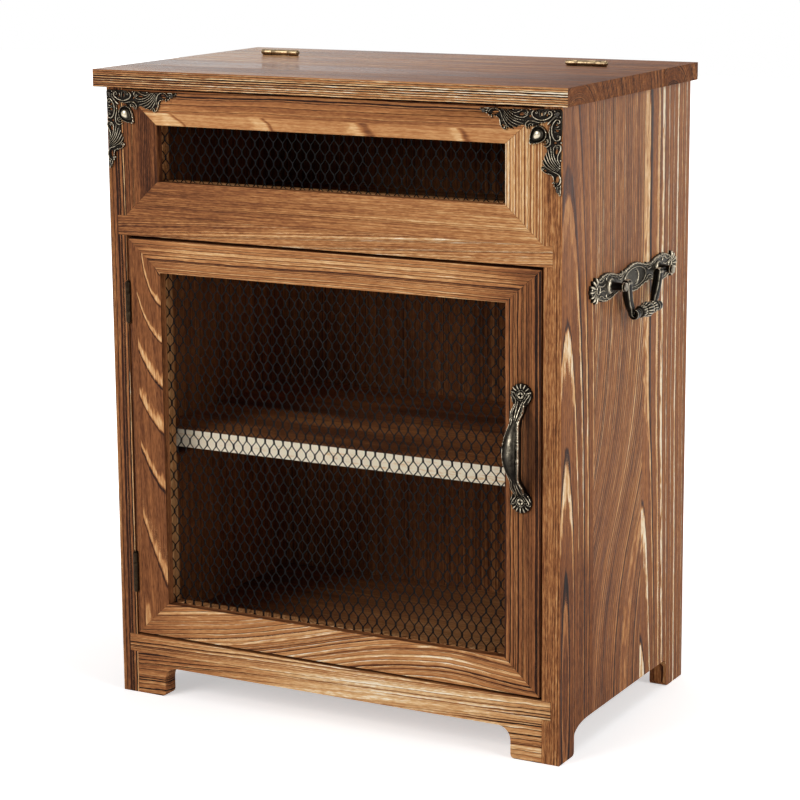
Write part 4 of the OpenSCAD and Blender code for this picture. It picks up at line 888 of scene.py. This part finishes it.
# curves of one arm: along, across, half width and height as a share of "rib"; the knobs are (along, across, radius,
# height), and the holes (along, across, radius along, radius across, turn)
bracketRibs = [
    [(22.6, 4.2, .5, .8), (21.3, 3.2, .5, .85), (22.6, 1.7, .55, .9), (25.0, 2.2, .6, 1), (25.9, 4.6, .7, 1),
     (24.2, 7.0, .75, 1), (20.4, 8.6, .8, 1), (15.6, 8.7, .75, 1), (11.4, 7.2, .7, 1), (8.7, 4.7, .65, 1),
     (9.2, 2.3, .6, .95), (11.2, 2.0, .5, .9), (11.7, 3.7, .55, .9), (10.6, 4.1, .5, .85)],
    [(13.6, 2.0, .4, .6), (14.7, 3.8, .6, .8), (15.3, 6.0, .4, .7)], [(16.6, 1.8, .5, .7), (16.4, 4.0, .6, .8),
     (16.2, 6.4, .4, .7)],
    [(19.4, 2.0, .4, .6), (19.6, 3.9, .5, .7), (18.6, 6.4, .4, .7)],
    [(30.6, 16.0, .45, .8), (31.5, 13.0, .55, .95), (29.2, 10.1, .6, 1), (24.8, 9.9, .6, 1), (19.6, 11.0, .5, .9),
     (14.8, 10.6, .4, .8)],
    [(28.5, 16.2, .4, .7), (29.0, 13.6, .45, .85), (27.4, 12.0, .5, .9), (25.3, 12.3, .45, .9),
     (25.6, 13.9, .45, .85)],
    [(33.2, 4.0, .4, .8), (31.2, 4.9, .5, .9), (29.3, 3.4, .55, .95), (30.3, 1.3, .55, 1), (33.6, 1.2, .55, 1),
     (37.2, 3.0, .5, .95), (41.2, 3.8, .45, .9), (45.2, 2.2, .4, .85)],
    [(29.8, 5.2, .5, .9), (32.4, 7.0, .55, .95), (37.2, 7.2, .5, .95), (42.4, 5.4, .45, .9), (47.2, 1.8, .4, .85)],
    [(31.6, 9.9, .3, .7), (35.6, 9.3, .45, .9), (40.8, 8.4, .5, .95), (45.4, 5.6, .5, .95), (49.0, 1.9, .4, .85)],
    [(33.8, 12.3, .3, .7), (37.6, 11.2, .45, .9), (42.2, 9.7, .5, .95), (46.6, 6.8, .5, .95), (50.2, 2.8, .4, .85)],
    [(36.8, 14.0, .3, .7), (40.0, 12.9, .45, .9), (44.2, 11.0, .5, .95), (48.0, 7.6, .5, .95), (51.0, 3.6, .4, .85)],
    [(39.8, 15.6, .3, .75), (42.6, 14.5, .5, .95), (46.2, 12.2, .55, 1), (49.4, 8.4, .5, .95), (51.8, 4.4, .4, .85)],
    [(42.8, 16.8, .35, .75), (45.4, 16.0, .5, .95), (48.2, 13.6, .55, 1), (50.8, 9.2, .5, .95), (52.6, 5.0, .4, .85)],
    [(50.2, 15.6, .45, .8), (48.9, 14.6, .5, .85), (47.7, 16.0, .5, .9), (49.2, 17.6, .55, .95), (51.8, 16.4, .6, 1),
     (53.6, 13.0, .6, 1), (54.2, 9.6, .55, 1), (56.2, 7.6, .55, .95), (59.6, 6.9, .5, .9), (62.6, 6.6, .5, .85)],
    [(52.0, 11.0, .4, .8), (52.2, 6.6, .55, .95), (54.2, 2.7, .6, 1), (58.0, 1.1, .6, 1), (61.8, 1.9, .55, .95),
     (63.8, 4.2, .5, .9)],
    [(63.4, 1.2, .4, .8), (67.4, 1.3, .45, .85), (71.6, 1.6, .3, .6)],
    [(64.4, 3.3, .6, .9), (68.0, 3.0, .6, .9), (72.0, 2.2, .3, .6)],
    [(64.8, 5.3, .4, .8), (67.4, 4.8, .45, .8), (70.4, 3.5, .3, .6)],
    [(5.6, 5.6, .5, .8), (8.4, 8.4, .6, .95), (12.2, 12.2, .6, 1)],
    [(6.6, 3.6, .4, .75), (6.2, 6.6, .5, .85), (9.2, 9.6, .4, .8)],
]
bracketKnobs = [(3.1, 3.1, 1.5, 1.05), (6.3, 1.5, .9, .8), (22.7, 3.2, .7, .9), (10.9, 3.3, .6, .9),
    (27.0, 14.0, .6, .9),
                (31.6, 3.7, .7, .9), (50.0, 16.2, .9, .95), (63.8, 6.7, .9, .9), (61.4, 8.0, .8, .85),
                    (65.0, 2.2, .6, .85),
                (27.6, 1.0, .8, .8), (42.4, 1.3, .8, .8)]
bracketHoles = [(18.0, 4.6, 0.9, 1.3, 0), (13.2, 5.0, 0.7, 1.0, 0), (35.0, 4.9, 2.4, 1.0, 12),
    (58.2, 4.2, 2.7, 1.3, 8), (28.0, 6.3, 0.9, 0.9, 0)]

# the drop in the corner, at equal places along both arms: half width and height of its seat and of its dome
bracketSeat = [(20.0, 20.0, 7.0, 1), (22.6, 22.6, 5.3, 1), (27.2, 27.2, 1.3, 1)]
bracketDome = [(20.1, 20.1, 5.0, 4.9), (22.2, 22.2, 3.8, 4.2), (25.4, 25.4, 1.0, 1.6)]


def bracketCasting(values):
    margin, corner, shorter = values["margin"], values["long"] + 1, values["down"] / values["long"]
    cast, seat, dome = (newCasting((-margin, -margin), (corner, corner), values["step"]) for _ in range(3))

    def bothArms(rows, high):
        arm = [(u, v, width, share * high) for u, v, width, share in rows]
        return arm, [(v, u * shorter, width, height) for u, v, width, height in arm]

    for points in bothArms([row + (1,) for row in bracketBase], values["base"]):
        stroke(cast, points)
    cast["height"] = np.where(cast["inside"] > 0, values["base"], np.clip(cast["height"], 0, values["base"]))
    for u, v, radiusU, radiusV, turn in bracketHoles:
        opening(cast, u, v, radiusU, radiusV, turn)
        opening(cast, v, u * shorter, radiusV, radiusU, -turn)
    for rib in bracketRibs:
        for points in bothArms(rib, values["rib"]):
            stroke(cast, points)
    for arm in bothArms(bracketKnobs, values["rib"]):
        for u, v, radius, height in arm:
            stroke(cast, [(u, v, radius, height), (u + 0.01, v, radius, height)], 1)
    stroke(seat, bracketSeat, 8)
    stroke(dome, bracketDome, 8)
    within = seat["inside"]
    rim = 2.9 * np.sqrt(np.clip(1 - ((within - 0.55) / 0.55) ** 2, 0, 1))
    drop = np.maximum(np.maximum(rim, dome["height"]), 1.1)
    # the shine is a painted highlight on the top of the drop's dome
    cast["shine"] = np.clip(dome["height"] - 3.6, 0, 1) * 0.62
    cast["base"] = values["rubAndHighlight"]
    cast["height"] = np.where(within > 0, drop, cast["height"])
    cast["inside"] = np.maximum(cast["inside"], within)
    return cast


def makeBrackets(values, material):
    cast = bracketCasting(values)
    for node, side in (("left_bracket", -1), ("right_bracket", 1)):
        def place(u, v, depth):
            return (side * (sideX - u * mm), frontY - depth * mm, (values["top"] - v) * mm)
        piece = castPiece(node + ".cast", cast, place, material)
        hand(piece, node)
        print(node, "faces:", len(piece.data.polygons))


makeBrackets(bracket, bronze)
print("brackets ready")


# ---- turned and swept metal ----
def metalMesh():
    mesh = bmesh.new()
    mesh.verts.layers.float.new("rubAndHighlight")
    return mesh


def lathe(mesh, profile, axis, centre, segments=48, reeds=0, reedDepth=0.0, reedReach=1.0):
    # a profile of (along, radius) in mm turned round an axis through the centre, with reeds raised along it
    first, second = [(1, 2), (0, 2), (0, 1)][axis]
    rubAndHighlight = mesh.verts.layers.float["rubAndHighlight"]
    rings = []
    for number, (along, radius) in enumerate(profile):
        near = [row[1] for row in profile[max(number - 3, 0):number + 4]]
        proud = (radius - sum(near) / len(near)) * 1.6
        reeded = max(0.0, 1 - abs(along / reedReach) ** 4) if reeds else 0.0
        ring = []
        for k in range(segments):
            angle = 2 * math.pi * k / segments
            crest = reeded * (abs(math.cos(reeds * angle / 2)) - 0.6)
            size = max(radius * (1 + reedDepth * crest), 0.001)
            spot = Vector((0, 0, 0))
            spot[axis], spot[first], spot[second] = along, size * math.cos(angle), size * math.sin(angle)
            vert = mesh.verts.new((spot + centre) * mm)
            vert[rubAndHighlight] = min(max(0.35 + proud + 1.1 * crest, 0.0), 1.0)
            ring.append(vert)
        rings.append(ring)
    joinRings(mesh, rings)
    return rings


def sweep(mesh, rows, side, section):  # rows of (x, y, z, wide, deep) in mm, side is the axis the section keeps
    rubAndHighlight = mesh.verts.layers.float["rubAndHighlight"]
    places = [Vector(row[:3]) for row in rows]
    rings = []
    for number, row in enumerate(rows):
        ahead = (places[min(number + 1, len(rows) - 1)] - places[max(number - 1, 0)]).normalized()
        across = (side - ahead * side.dot(ahead)).normalized()
        out = ahead.cross(across)
        ring = []
        for a, b, worn in section:
            vert = mesh.verts.new((places[number] + across * a * row[3] / 2 + out * b * row[4] / 2) * mm)
            vert[rubAndHighlight] = worn
            ring.append(vert)
        rings.append(ring)
    joinRings(mesh, rings)


def outward(mesh):
    bmesh.ops.recalc_face_normals(mesh, faces=mesh.faces)
    return mesh


# ---- door pull ----
pull = {"pitch": 88, "screwRadius": 3.5, "endRadius": 9.3, "endHeight": 2.1, "gripHalf": 39.5, "standsOut": 22.0,
        "bar": 5.0, "step": 0.3, "headStep": 0.14, "x": 180.5, "z": 265}
# half of the outline: along from the middle and half width
pullOutline = [(0, 7.4), (6, 7.2), (12, 6.5), (18, 5.3), (23, 4.3), (27, 4.5), (31, 5.6), (34, 5.3), (37, 4.6),
               (42, 4.4)]
pullSpine = [(-27.5, 0, 0.5, 1.2), (-22, 0, 2.2, 2.0), (-14, -0.3, 4.0, 2.9), (0, -0.5, 5.3, 3.4),
             (14, -0.3, 4.0, 2.9), (22, 0, 2.2, 2.0), (27.5, 0, 0.5, 1.2)]
pullScrolls = [
    [(26, 0.8, 0.4, 1.6), (33, 1.2, 0.55, 1.9), (39.5, 2.2, 0.45, 1.5)],
    [(35.8, 5.4, 0.5, 1.4), (37.6, 3.6, 0.55, 1.7), (40.6, 4.6, 0.6, 1.8), (43.0, 6.6, 0.65, 1.9),
     (45.4, 7.6, 0.6, 1.9), (46.6, 6.2, 0.55, 1.8), (45.0, 5.2, 0.5, 1.7), (44.0, 6.2, 0.4, 1.5)],
    [(38.4, 7.0, 0.4, 1.4), (41.2, 8.0, 0.5, 1.6), (43.4, 8.7, 0.4, 1.4)],
]
pullRay = [(4.9, 0.35, 1.2), (7.0, 0.7, 2.1), (9.0, 0.9, 1.7)]


def pullBow(values, u):  # how far the front of the bar stands out, u mm along it from the middle
    t = np.clip(np.abs(u) / values["gripHalf"], 0, 1)
    return 2.6 + (values["standsOut"] - 2.6) * np.cos(t * math.pi / 2) ** 0.9


def pullCasting(values):
    half = values["pitch"] / 2
    edge = half + values["endRadius"] + 1.2
    cast = newCasting((-edge, -10.5), (edge, 10.5), values["step"])
    u, v = cast["u"], cast["v"]
    far = np.abs(u)
    leaf = np.interp(far, *np.array(pullOutline).T)
    bar = np.where(far < values["gripHalf"] + 2, leaf - np.abs(v), -3)
    end = np.hypot(far - half, v)
    angle = np.arctan2(v, far - half)
    shell = values["endRadius"] + 0.45 * np.abs(np.cos(7.5 * angle)) * (np.cos(angle) > -0.2) - end
    cast["inside"] = np.maximum(bar, shell)
    cast["height"] = np.full(u.shape, 0.4)
    stroke(cast, pullSpine, 8)
    beads = [[(a, max(wide - inner, 0.6), thick, high) for a, wide in pullOutline[:9]]
             for inner, high, thick in ((0.5, 2.3, 0.6), (1.7, 1.8, 0.45))]
    for way in (-1, 1):
        mirroredStrokes(cast, beads, way, 6)
        mirroredStrokes(cast, pullScrolls, way)
        fan(cast, way, half, 24, pullRay)
        circle(cast, way * half, 4.1, 0.4, 1.7)
    hole = values["screwRadius"] + 0.05
    cast["inside"] = np.where(end < hole + 0.5, np.minimum(cast["inside"], end - hole), cast["inside"])
    bow, lowEnd = pullBow(values, u), values["endHeight"] - 0.6
    rises = np.where(far < values["gripHalf"] + 0.5, np.maximum(bow - 0.6, lowEnd), lowEnd)
    cast["back"] = np.where(far < values["gripHalf"] * 0.94, np.maximum(bow - values["bar"], 0.0), 0.0)
    cast["height"] = np.maximum(cast["height"] + rises - cast["back"], 0.5)
    cast["base"] = 0.38
    # the shine is a painted highlight on the upper part of the leaf's dome
    cast["shine"] = 0.40 * ridge(u - 7, 14) * ridge(v + 0.8, 3.0)
    return cast


def makeScrews(values, material):  # pan heads with a cross recess, on plain shanks
    pieces, radius = [], values["screwRadius"]
    for z in (values["z"] - values["pitch"] / 2, values["z"] + values["pitch"] / 2):
        cast = newCasting((-4.2, -4.2), (4.2, 4.2), values["headStep"])
        away = np.hypot(cast["u"], cast["v"])
        cast["inside"] = radius - away
        cast["height"] = 3.6 - 0.9 * (away / radius) ** 2 + 0.25 * ridge(away - 2.7, 0.25)
        whole = cast["height"].copy()
        for turn in (0.1, 0.1 + math.pi / 2):
            arm = [(r * math.cos(turn), r * math.sin(turn), w, 2.2) for r, w in ((-1.9, 0.5), (0, 0.85), (1.9, 0.5))]
            stroke(cast, arm, 4, carve=True)
        cast["base"] = 0.8
        cast["shine"] = -1.2 * np.clip(whole - cast["height"], 0, 1) - 0.5 * np.clip(away - 2.3, 0, 1)

        def place(u, v, depth):
            return ((values["x"] + u) * mm, frontY - depth * mm, (z + v) * mm)
        head = castPiece("pull_screw_head", cast, place, material, rim=2.4)
        mesh = metalMesh()
        lathe(mesh, [(0, 2.2), (0.6, 1.75), (12.2, 1.7), (13, 0.2)], 1, Vector((values["x"], frontY / mm, z)), 20)
        pieces += [head, newObject("pull_screw_shank", outward(mesh), material, 40)]
    for piece in pieces:
        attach(piece, bodyOf["door_pull_screws"])
    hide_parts("door_pull_screws")


def makePull(values, material):
    cast = pullCasting(values)

    def place(u, v, depth):
        return ((values["x"] + v) * mm, frontY - depth * mm, (values["z"] + u) * mm)
    piece = castPiece("door_pull.cast", cast, place, material, rim=1.4, rounding=0.7)
    hand(piece, "door_pull")
    print("pull faces:", len(piece.data.polygons))


makePull(pull, bronze)
makeScrews(pull, bronze)


# ---- side handles ----
handle = {
    "y": 19.65, "z": 386.5, "long": 182, "half": 12, "thick": 1.9, "scallops": 26, "step": 0.4, "posts": 101,
    "postRadius": 3.9, "postOut": 16.5, "boltRadius": 2.45, "boltLong": 22.5, "pinOut": 9.4, "pinRadius": 2.0,
    "boreRadius": 2.05, "armTop": 67, "armLow": 47, "drop": 26.8, "lean": 3.6, "gripRadius": 6.2, "reeds": 14,
    "reedReach": 16.5,
}
plateScrolls = [
    [(25.6, 8.6, .5, 2.9), (28.0, 6.2, .6, 3.1), (31.0, 5.0, .65, 3.1), (33.6, 5.8, .6, 3.0), (33.0, 7.2, .5, 2.8)],
    [(22.5, 7.6, .5, 2.8), (25.4, 4.4, .6, 3.0), (29.6, 2.6, .6, 3.0), (34.5, 3.2, .5, 2.8), (38, 5.4, .5, 2.8)],
    [(40, 7.6, .5, 2.9), (44, 9.4, .6, 3.0), (50, 10.2, .6, 3.1), (56, 9.6, .6, 3.0), (60, 7.4, .6, 3.0),
     (58.6, 5.4, .5, 2.8)],
    [(64.5, 8.6, .5, 2.9), (67.5, 6.4, .65, 3.2), (71.5, 5.6, .65, 3.2), (74.4, 7.0, .6, 3.0), (72.8, 8.8, .5, 2.9)],
    [(62, 3.0, .5, 2.8), (66, 1.8, .6, 3.0), (71, 2.4, .55, 2.9), (75.4, 4.2, .5, 2.8)],
]
platePetal = [(4.4, 0.7, 2.7), (8.0, 1.5, 3.5), (11.2, 1.65, 3.7), (12.6, 1.2, 3.2)]
plateCrescent = [(-1.5, 5.6, .35, .7), (3.4, 4.6, .8, 1.1), (5.6, 0, 1.1, 1.3), (3.4, -4.6, .8, 1.1),
                 (-1.5, -5.6, .35, .7)]
# a post: mm out from the plate, and mm back from its end, each with the difference from its radius
postFoot = [(0, 2.1), (0.5, 2.2), (0.9, 2.0), (1.2, 1.3), (1.6, 1.0), (2.0, 0), (2.6, -0.25)]
postHead = [(4.2, -0.8), (3.4, -0.6), (3.0, -0.2), (2.4, -0.1), (2.0, -0.7), (1.5, -0.7), (1.2, -0.3), (0.9, -0.22),
            (0.3, -0.25), (0, -0.5)]
# an arm of the bail: x, y, z from its pin, then from the end of the grip, with its width and depth there
armFromPin = [(-0.1, 0, 2.6, 6.2, 5.4), (0, 0, 0.4, 8.0, 7.0), (-0.3, -1.2, -6, 8.0, 7.2), (-0.5, -3.0, -12, 8.0, 7.2),
              (-0.5, -5.6, -18, 8.0, 6.6), (-0.2, -8.6, -22.5, 7.6, 5.6)]
armToGrip = [(-3.3, 0.4, -0.6, 6.7, 3.8), (-2.2, 0, -2.9, 6.7, 3.2), (0.1, 0, -3.7, 6.7, 2.7), (2.4, 0, -2.4, 6.6, 2.3),
             (3.1, 0, 0.3, 6.4, 2.0), (1.8, 0, 2.4, 6.2, 1.8), (-0.3, 0, 2.4, 6.0, 1.7), (-0.9, 0, 0.6, 6.0, 1.7),
             (0.3, 0, -0.4, 6.0, 1.6)]
# its boss on the pin: y from the arm, and radius
armBoss = [(-3.2, 1.6), (-3.4, 2.6), (-3.2, 3.2), (0, 3.4), (3.2, 3.2), (3.6, 2.6), (3.8, 2.2)]
# half of the grip: along from its middle, and the share of its radius
gripShape = [
    (0, 1.0), (1.6, 0.98), (3.2, 0.92), (4.8, 0.80), (5.9, 0.66), (6.2, 0.56), (6.5, 0.56), (6.8, 0.68), (7.6, 0.72),
    (8.4, 0.68), (8.7, 0.55), (9.0, 0.52), (9.4, 0.60), (10.4, 0.76), (12.0, 0.84), (13.8, 0.80), (15.2, 0.66),
    (15.9, 0.54), (16.3, 0.50), (16.7, 0.58), (17.5, 0.62), (18.3, 0.57), (18.7, 0.46), (20.0, 0.40), (21.2, 0.42)]


def plateCasting(values):
    halfLong, half, thick = values["long"] / 2, values["half"], values["thick"]
    cast = newCasting((-halfLong - 0.8, -half - 1.6), (halfLong + 0.8, half + 1.6), values["step"])
    u, v = cast["u"], cast["v"]
    t = np.clip(np.abs(u) / halfLong, 0, 1)
    edge = half * (0.8 + 0.2 * np.cos(3 * math.pi * t)) * np.sqrt(np.clip(1 - t ** 6, 0, 1))
    edge += 0.5 * np.abs(np.sin(values["scallops"] * math.pi / 2 * t))
    gap = edge - np.abs(v)
    slopeU, slopeV = np.gradient(gap, values["step"])
    inside = np.where(np.abs(u) < halfLong, gap / np.maximum(np.hypot(slopeU, slopeV), 1), -1)
    cast["inside"] = inside
    rim = ridge(inside - 1.0, 0.75) * (0.35 + 0.95 * np.abs(np.sin(u * 1.05)))
    cast["height"] = thick + rim + 0.75 * ridge(inside - 2.7, 0.4)
    cast["base"] = 0.6
    for way in (-1, 1):
        mirroredStrokes(cast, plateScrolls, way)
        fan(cast, way, 76.5, 25, platePetal, 1.08, 0.82)
        circle(cast, way * 76, 3.4, 0.6, 3.1)
    oval = np.hypot(u / 22, v / 8.2)
    cast["height"] = np.where(oval < 1.12, thick - 0.1, cast["height"]) + 1.35 * ridge(oval - 1.0, 0.055)
    cast["height"] = np.where(oval < 0.93, thick + 0.9 - 0.5 * oval ** 2, cast["height"])
    stroke(cast, plateCrescent, 8, carve=True)
    for way in (-1, 1):
        away = np.hypot(u - way * values["posts"] / 2, v)
        seat = thick + 0.9 * np.clip((7.4 - away) / 1.2, 0, 1)
        cast["height"] = np.where(away < 7.4, seat, cast["height"])
        cast["inside"] = np.where(away < 3.4, away - 2.7, cast["inside"])
    return cast


def groovedSection(count=48):  # a soft rectangle with two grooves along each face
    points = []
    for angle in (2 * math.pi * k / count for k in range(count)):
        c, s = math.cos(angle), math.sin(angle)
        groove = 0.5 + 0.5 * math.cos(12 * angle)
        size = (1 - 0.085 * groove) / (abs(c) ** 4 + abs(s) ** 4) ** 0.25
        points.append((c * size, s * size, 0.14 + 0.56 * (abs(c * s) * 2) ** 5 + 0.12 * (1 - groove)))
    return points


def makePosts(node, side, values, material):
    out, radius, plateTop = values["postOut"], values["postRadius"], values["thick"] + 0.6
    profile = [(side * (plateTop + along), radius + more) for along, more in postFoot]
    profile += [(side * (out - along), radius + more) for along, more in postHead]
    bolt = [(side * plateTop, values["boltRadius"]), (-side * values["boltLong"], values["boltRadius"])]
    mesh, cutters = metalMesh(), metalMesh()
    for way in (-1, 1):
        centre = Vector((side * sideX / mm, values["y"] + way * values["posts"] / 2, values["z"]))
        rings = lathe(mesh, profile, 0, centre)
        for vert in rings[-1] + rings[-2]:
            vert[mesh.verts.layers.float["rubAndHighlight"]] = 0.74
        lathe(mesh, bolt, 0, centre, 24)
        pinAt = Vector((side * (sideX / mm + values["pinOut"]), values["y"], values["z"]))
        inner = way * (values["posts"] / 2 + 1)
        lathe(cutters, [(inner - way * 9, values["boreRadius"]), (inner, values["boreRadius"])], 1, pinAt, 24)
    piece = newObject(node + ".turned", outward(mesh), material)
    cutter = newObject("cutter", outward(cutters))
    modifier = piece.modifiers.new("bore", "BOOLEAN")
    modifier.operation, modifier.solver, modifier.object = "DIFFERENCE", "EXACT", cutter
    data = bakedMesh(piece)
    piece.modifiers.clear()
    piece.data = data
    bpy.data.objects.remove(cutter)
    smooth(piece.data, 45)
    hand(piece, node)


def makeBail(node, side, values, material):
    y, z = values["y"], values["z"]
    pinX, top, low = sideX / mm + values["pinOut"], values["armTop"] / 2, values["armLow"] / 2
    lowX, lowZ = pinX + values["lean"], z - values["drop"]
    mesh, section = metalMesh(), groovedSection()
    for way in (-1, 1):
        arm = [(pinX + a, top + b, z + c, wide, deep) for a, b, c, wide, deep in armFromPin]
        arm += [(lowX + a, low + b, lowZ + c, wide, deep) for a, b, c, wide, deep in armToGrip]
        rows = [(side * row[0], y + way * row[1], *row[2:]) for row in curveThrough(arm, 6)]
        sweep(mesh, rows, Vector((0, 1, 0)), section)
        centre, pin = Vector((side * pinX, y, z)), values["pinRadius"]
        lathe(mesh, [(way * (top - 1), pin), (way * (values["posts"] / 2 + 0.4), pin)], 1, centre, 24)
        lathe(mesh, [(way * (top + a), radius) for a, radius in armBoss], 1, centre, 32)
    profile = [(-a, values["gripRadius"] * share) for a, share in reversed(gripShape)]
    profile += [(-a, radius) for a, radius in reversed(profile[:-1])]
    fine = [tuple(row) for row in curveThrough(profile, 3)]
    lathe(mesh, fine, 1, Vector((side * lowX, y, lowZ)), 84, values["reeds"], 0.17, values["reedReach"])
    piece = newObject(node + ".cast", outward(mesh), material, 50)
    hand(piece, node)
    print(node, "faces:", len(piece.data.polygons))


def makeHandles(values, material):
    cast = plateCasting(values)
    for name, side in (("left", -1), ("right", 1)):
        def place(u, v, depth):
            return (side * (sideX + depth * mm), (values["y"] + u) * mm, (values["z"] + v) * mm)
        node = name + "_handle_plate"
        hand(castPiece(node + ".cast", cast, place, material, rounding=0.8), node)
        makePosts(name + "_handle_posts", side, values, material)
        makeBail(name + "_bail", side, values, material)


makeHandles(handle, bronze)
print("handles ready")


# ---- hinges and small hardware ----
def markWear(piece, reach, base):  # how far each corner stands out against its neighbours, for rubbed edges
    mesh = bmesh.new()
    mesh.from_mesh(piece.data)
    mesh.normal_update()
    bulge = []
    for vert in mesh.verts:
        total = 0.0
        for edge in vert.link_edges:
            along = edge.other_vert(vert).co - vert.co
            total -= along.normalized().dot(vert.normal) if along.length > 1e-9 else 0
        bulge.append(total / max(len(vert.link_edges), 1))
    for _ in range(2):
        bulge = [(bulge[vert.index] + sum(bulge[edge.other_vert(vert).index] for edge in vert.link_edges))
                 / (1 + len(vert.link_edges)) for vert in mesh.verts]
    mesh.free()
    wearAndHighlight = piece.data.attributes.new("rubAndHighlight", "FLOAT", "POINT")
    wearAndHighlight.data.foreach_set("value", [min(max(base + reach * value, 0.0), 1.0) for value in bulge])


def dressMetal(node, material, chamfer, reach=1.6, base=0.35):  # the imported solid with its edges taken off
    mesh = packedMesh(node, 1)
    bevel(mesh, sharpEdges(mesh, 35), chamfer, 0.5)
    bmesh.ops.triangulate(mesh, faces=[face for face in mesh.faces if len(face.verts) > 4])
    piece = newObject(node + ".metal", mesh, material, 40)
    markWear(piece, reach, base)
    hand(piece, node)


brass = makeMetal("agedBrass", srgb(38, 29, 21), srgb(176, 152, 116), 0.42, 0.62)
zinc = makeMetal("zincPlate", srgb(138, 137, 132), srgb(190, 188, 180), 0.42, 0.45)
darkIron = makeMetal("darkIron", srgb(40, 37, 34), srgb(150, 144, 134), 0.5, 0.55)
for nodes, values in {  # metal, chamfer in mm, and how much the edges and the flats are rubbed
    "lid_hinge_leaves top_hinge_leaves lid_hinge_pins": (brass, 0.12, 2.0, 0.5),
    "door_hinge_leaves side_hinge_leaves door_hinge_pins": (brass, 0.12, 2.0, 0.12),
    "lid_leaf_screws top_leaf_screws door_leaf_screws side_leaf_screws": (brass, 0.08),
    "left_handle_nuts right_handle_nuts magnet_catch catch_screws": (zinc, 0.12),
    "strike_plate strike_screws cleat_screws back_nails": (zinc, 0.12),
    "bracket_pins": (darkIron, 0.1),
}.items():
    for node in nodes.split():
        dressMetal(node, *values)
print("hardware ready")
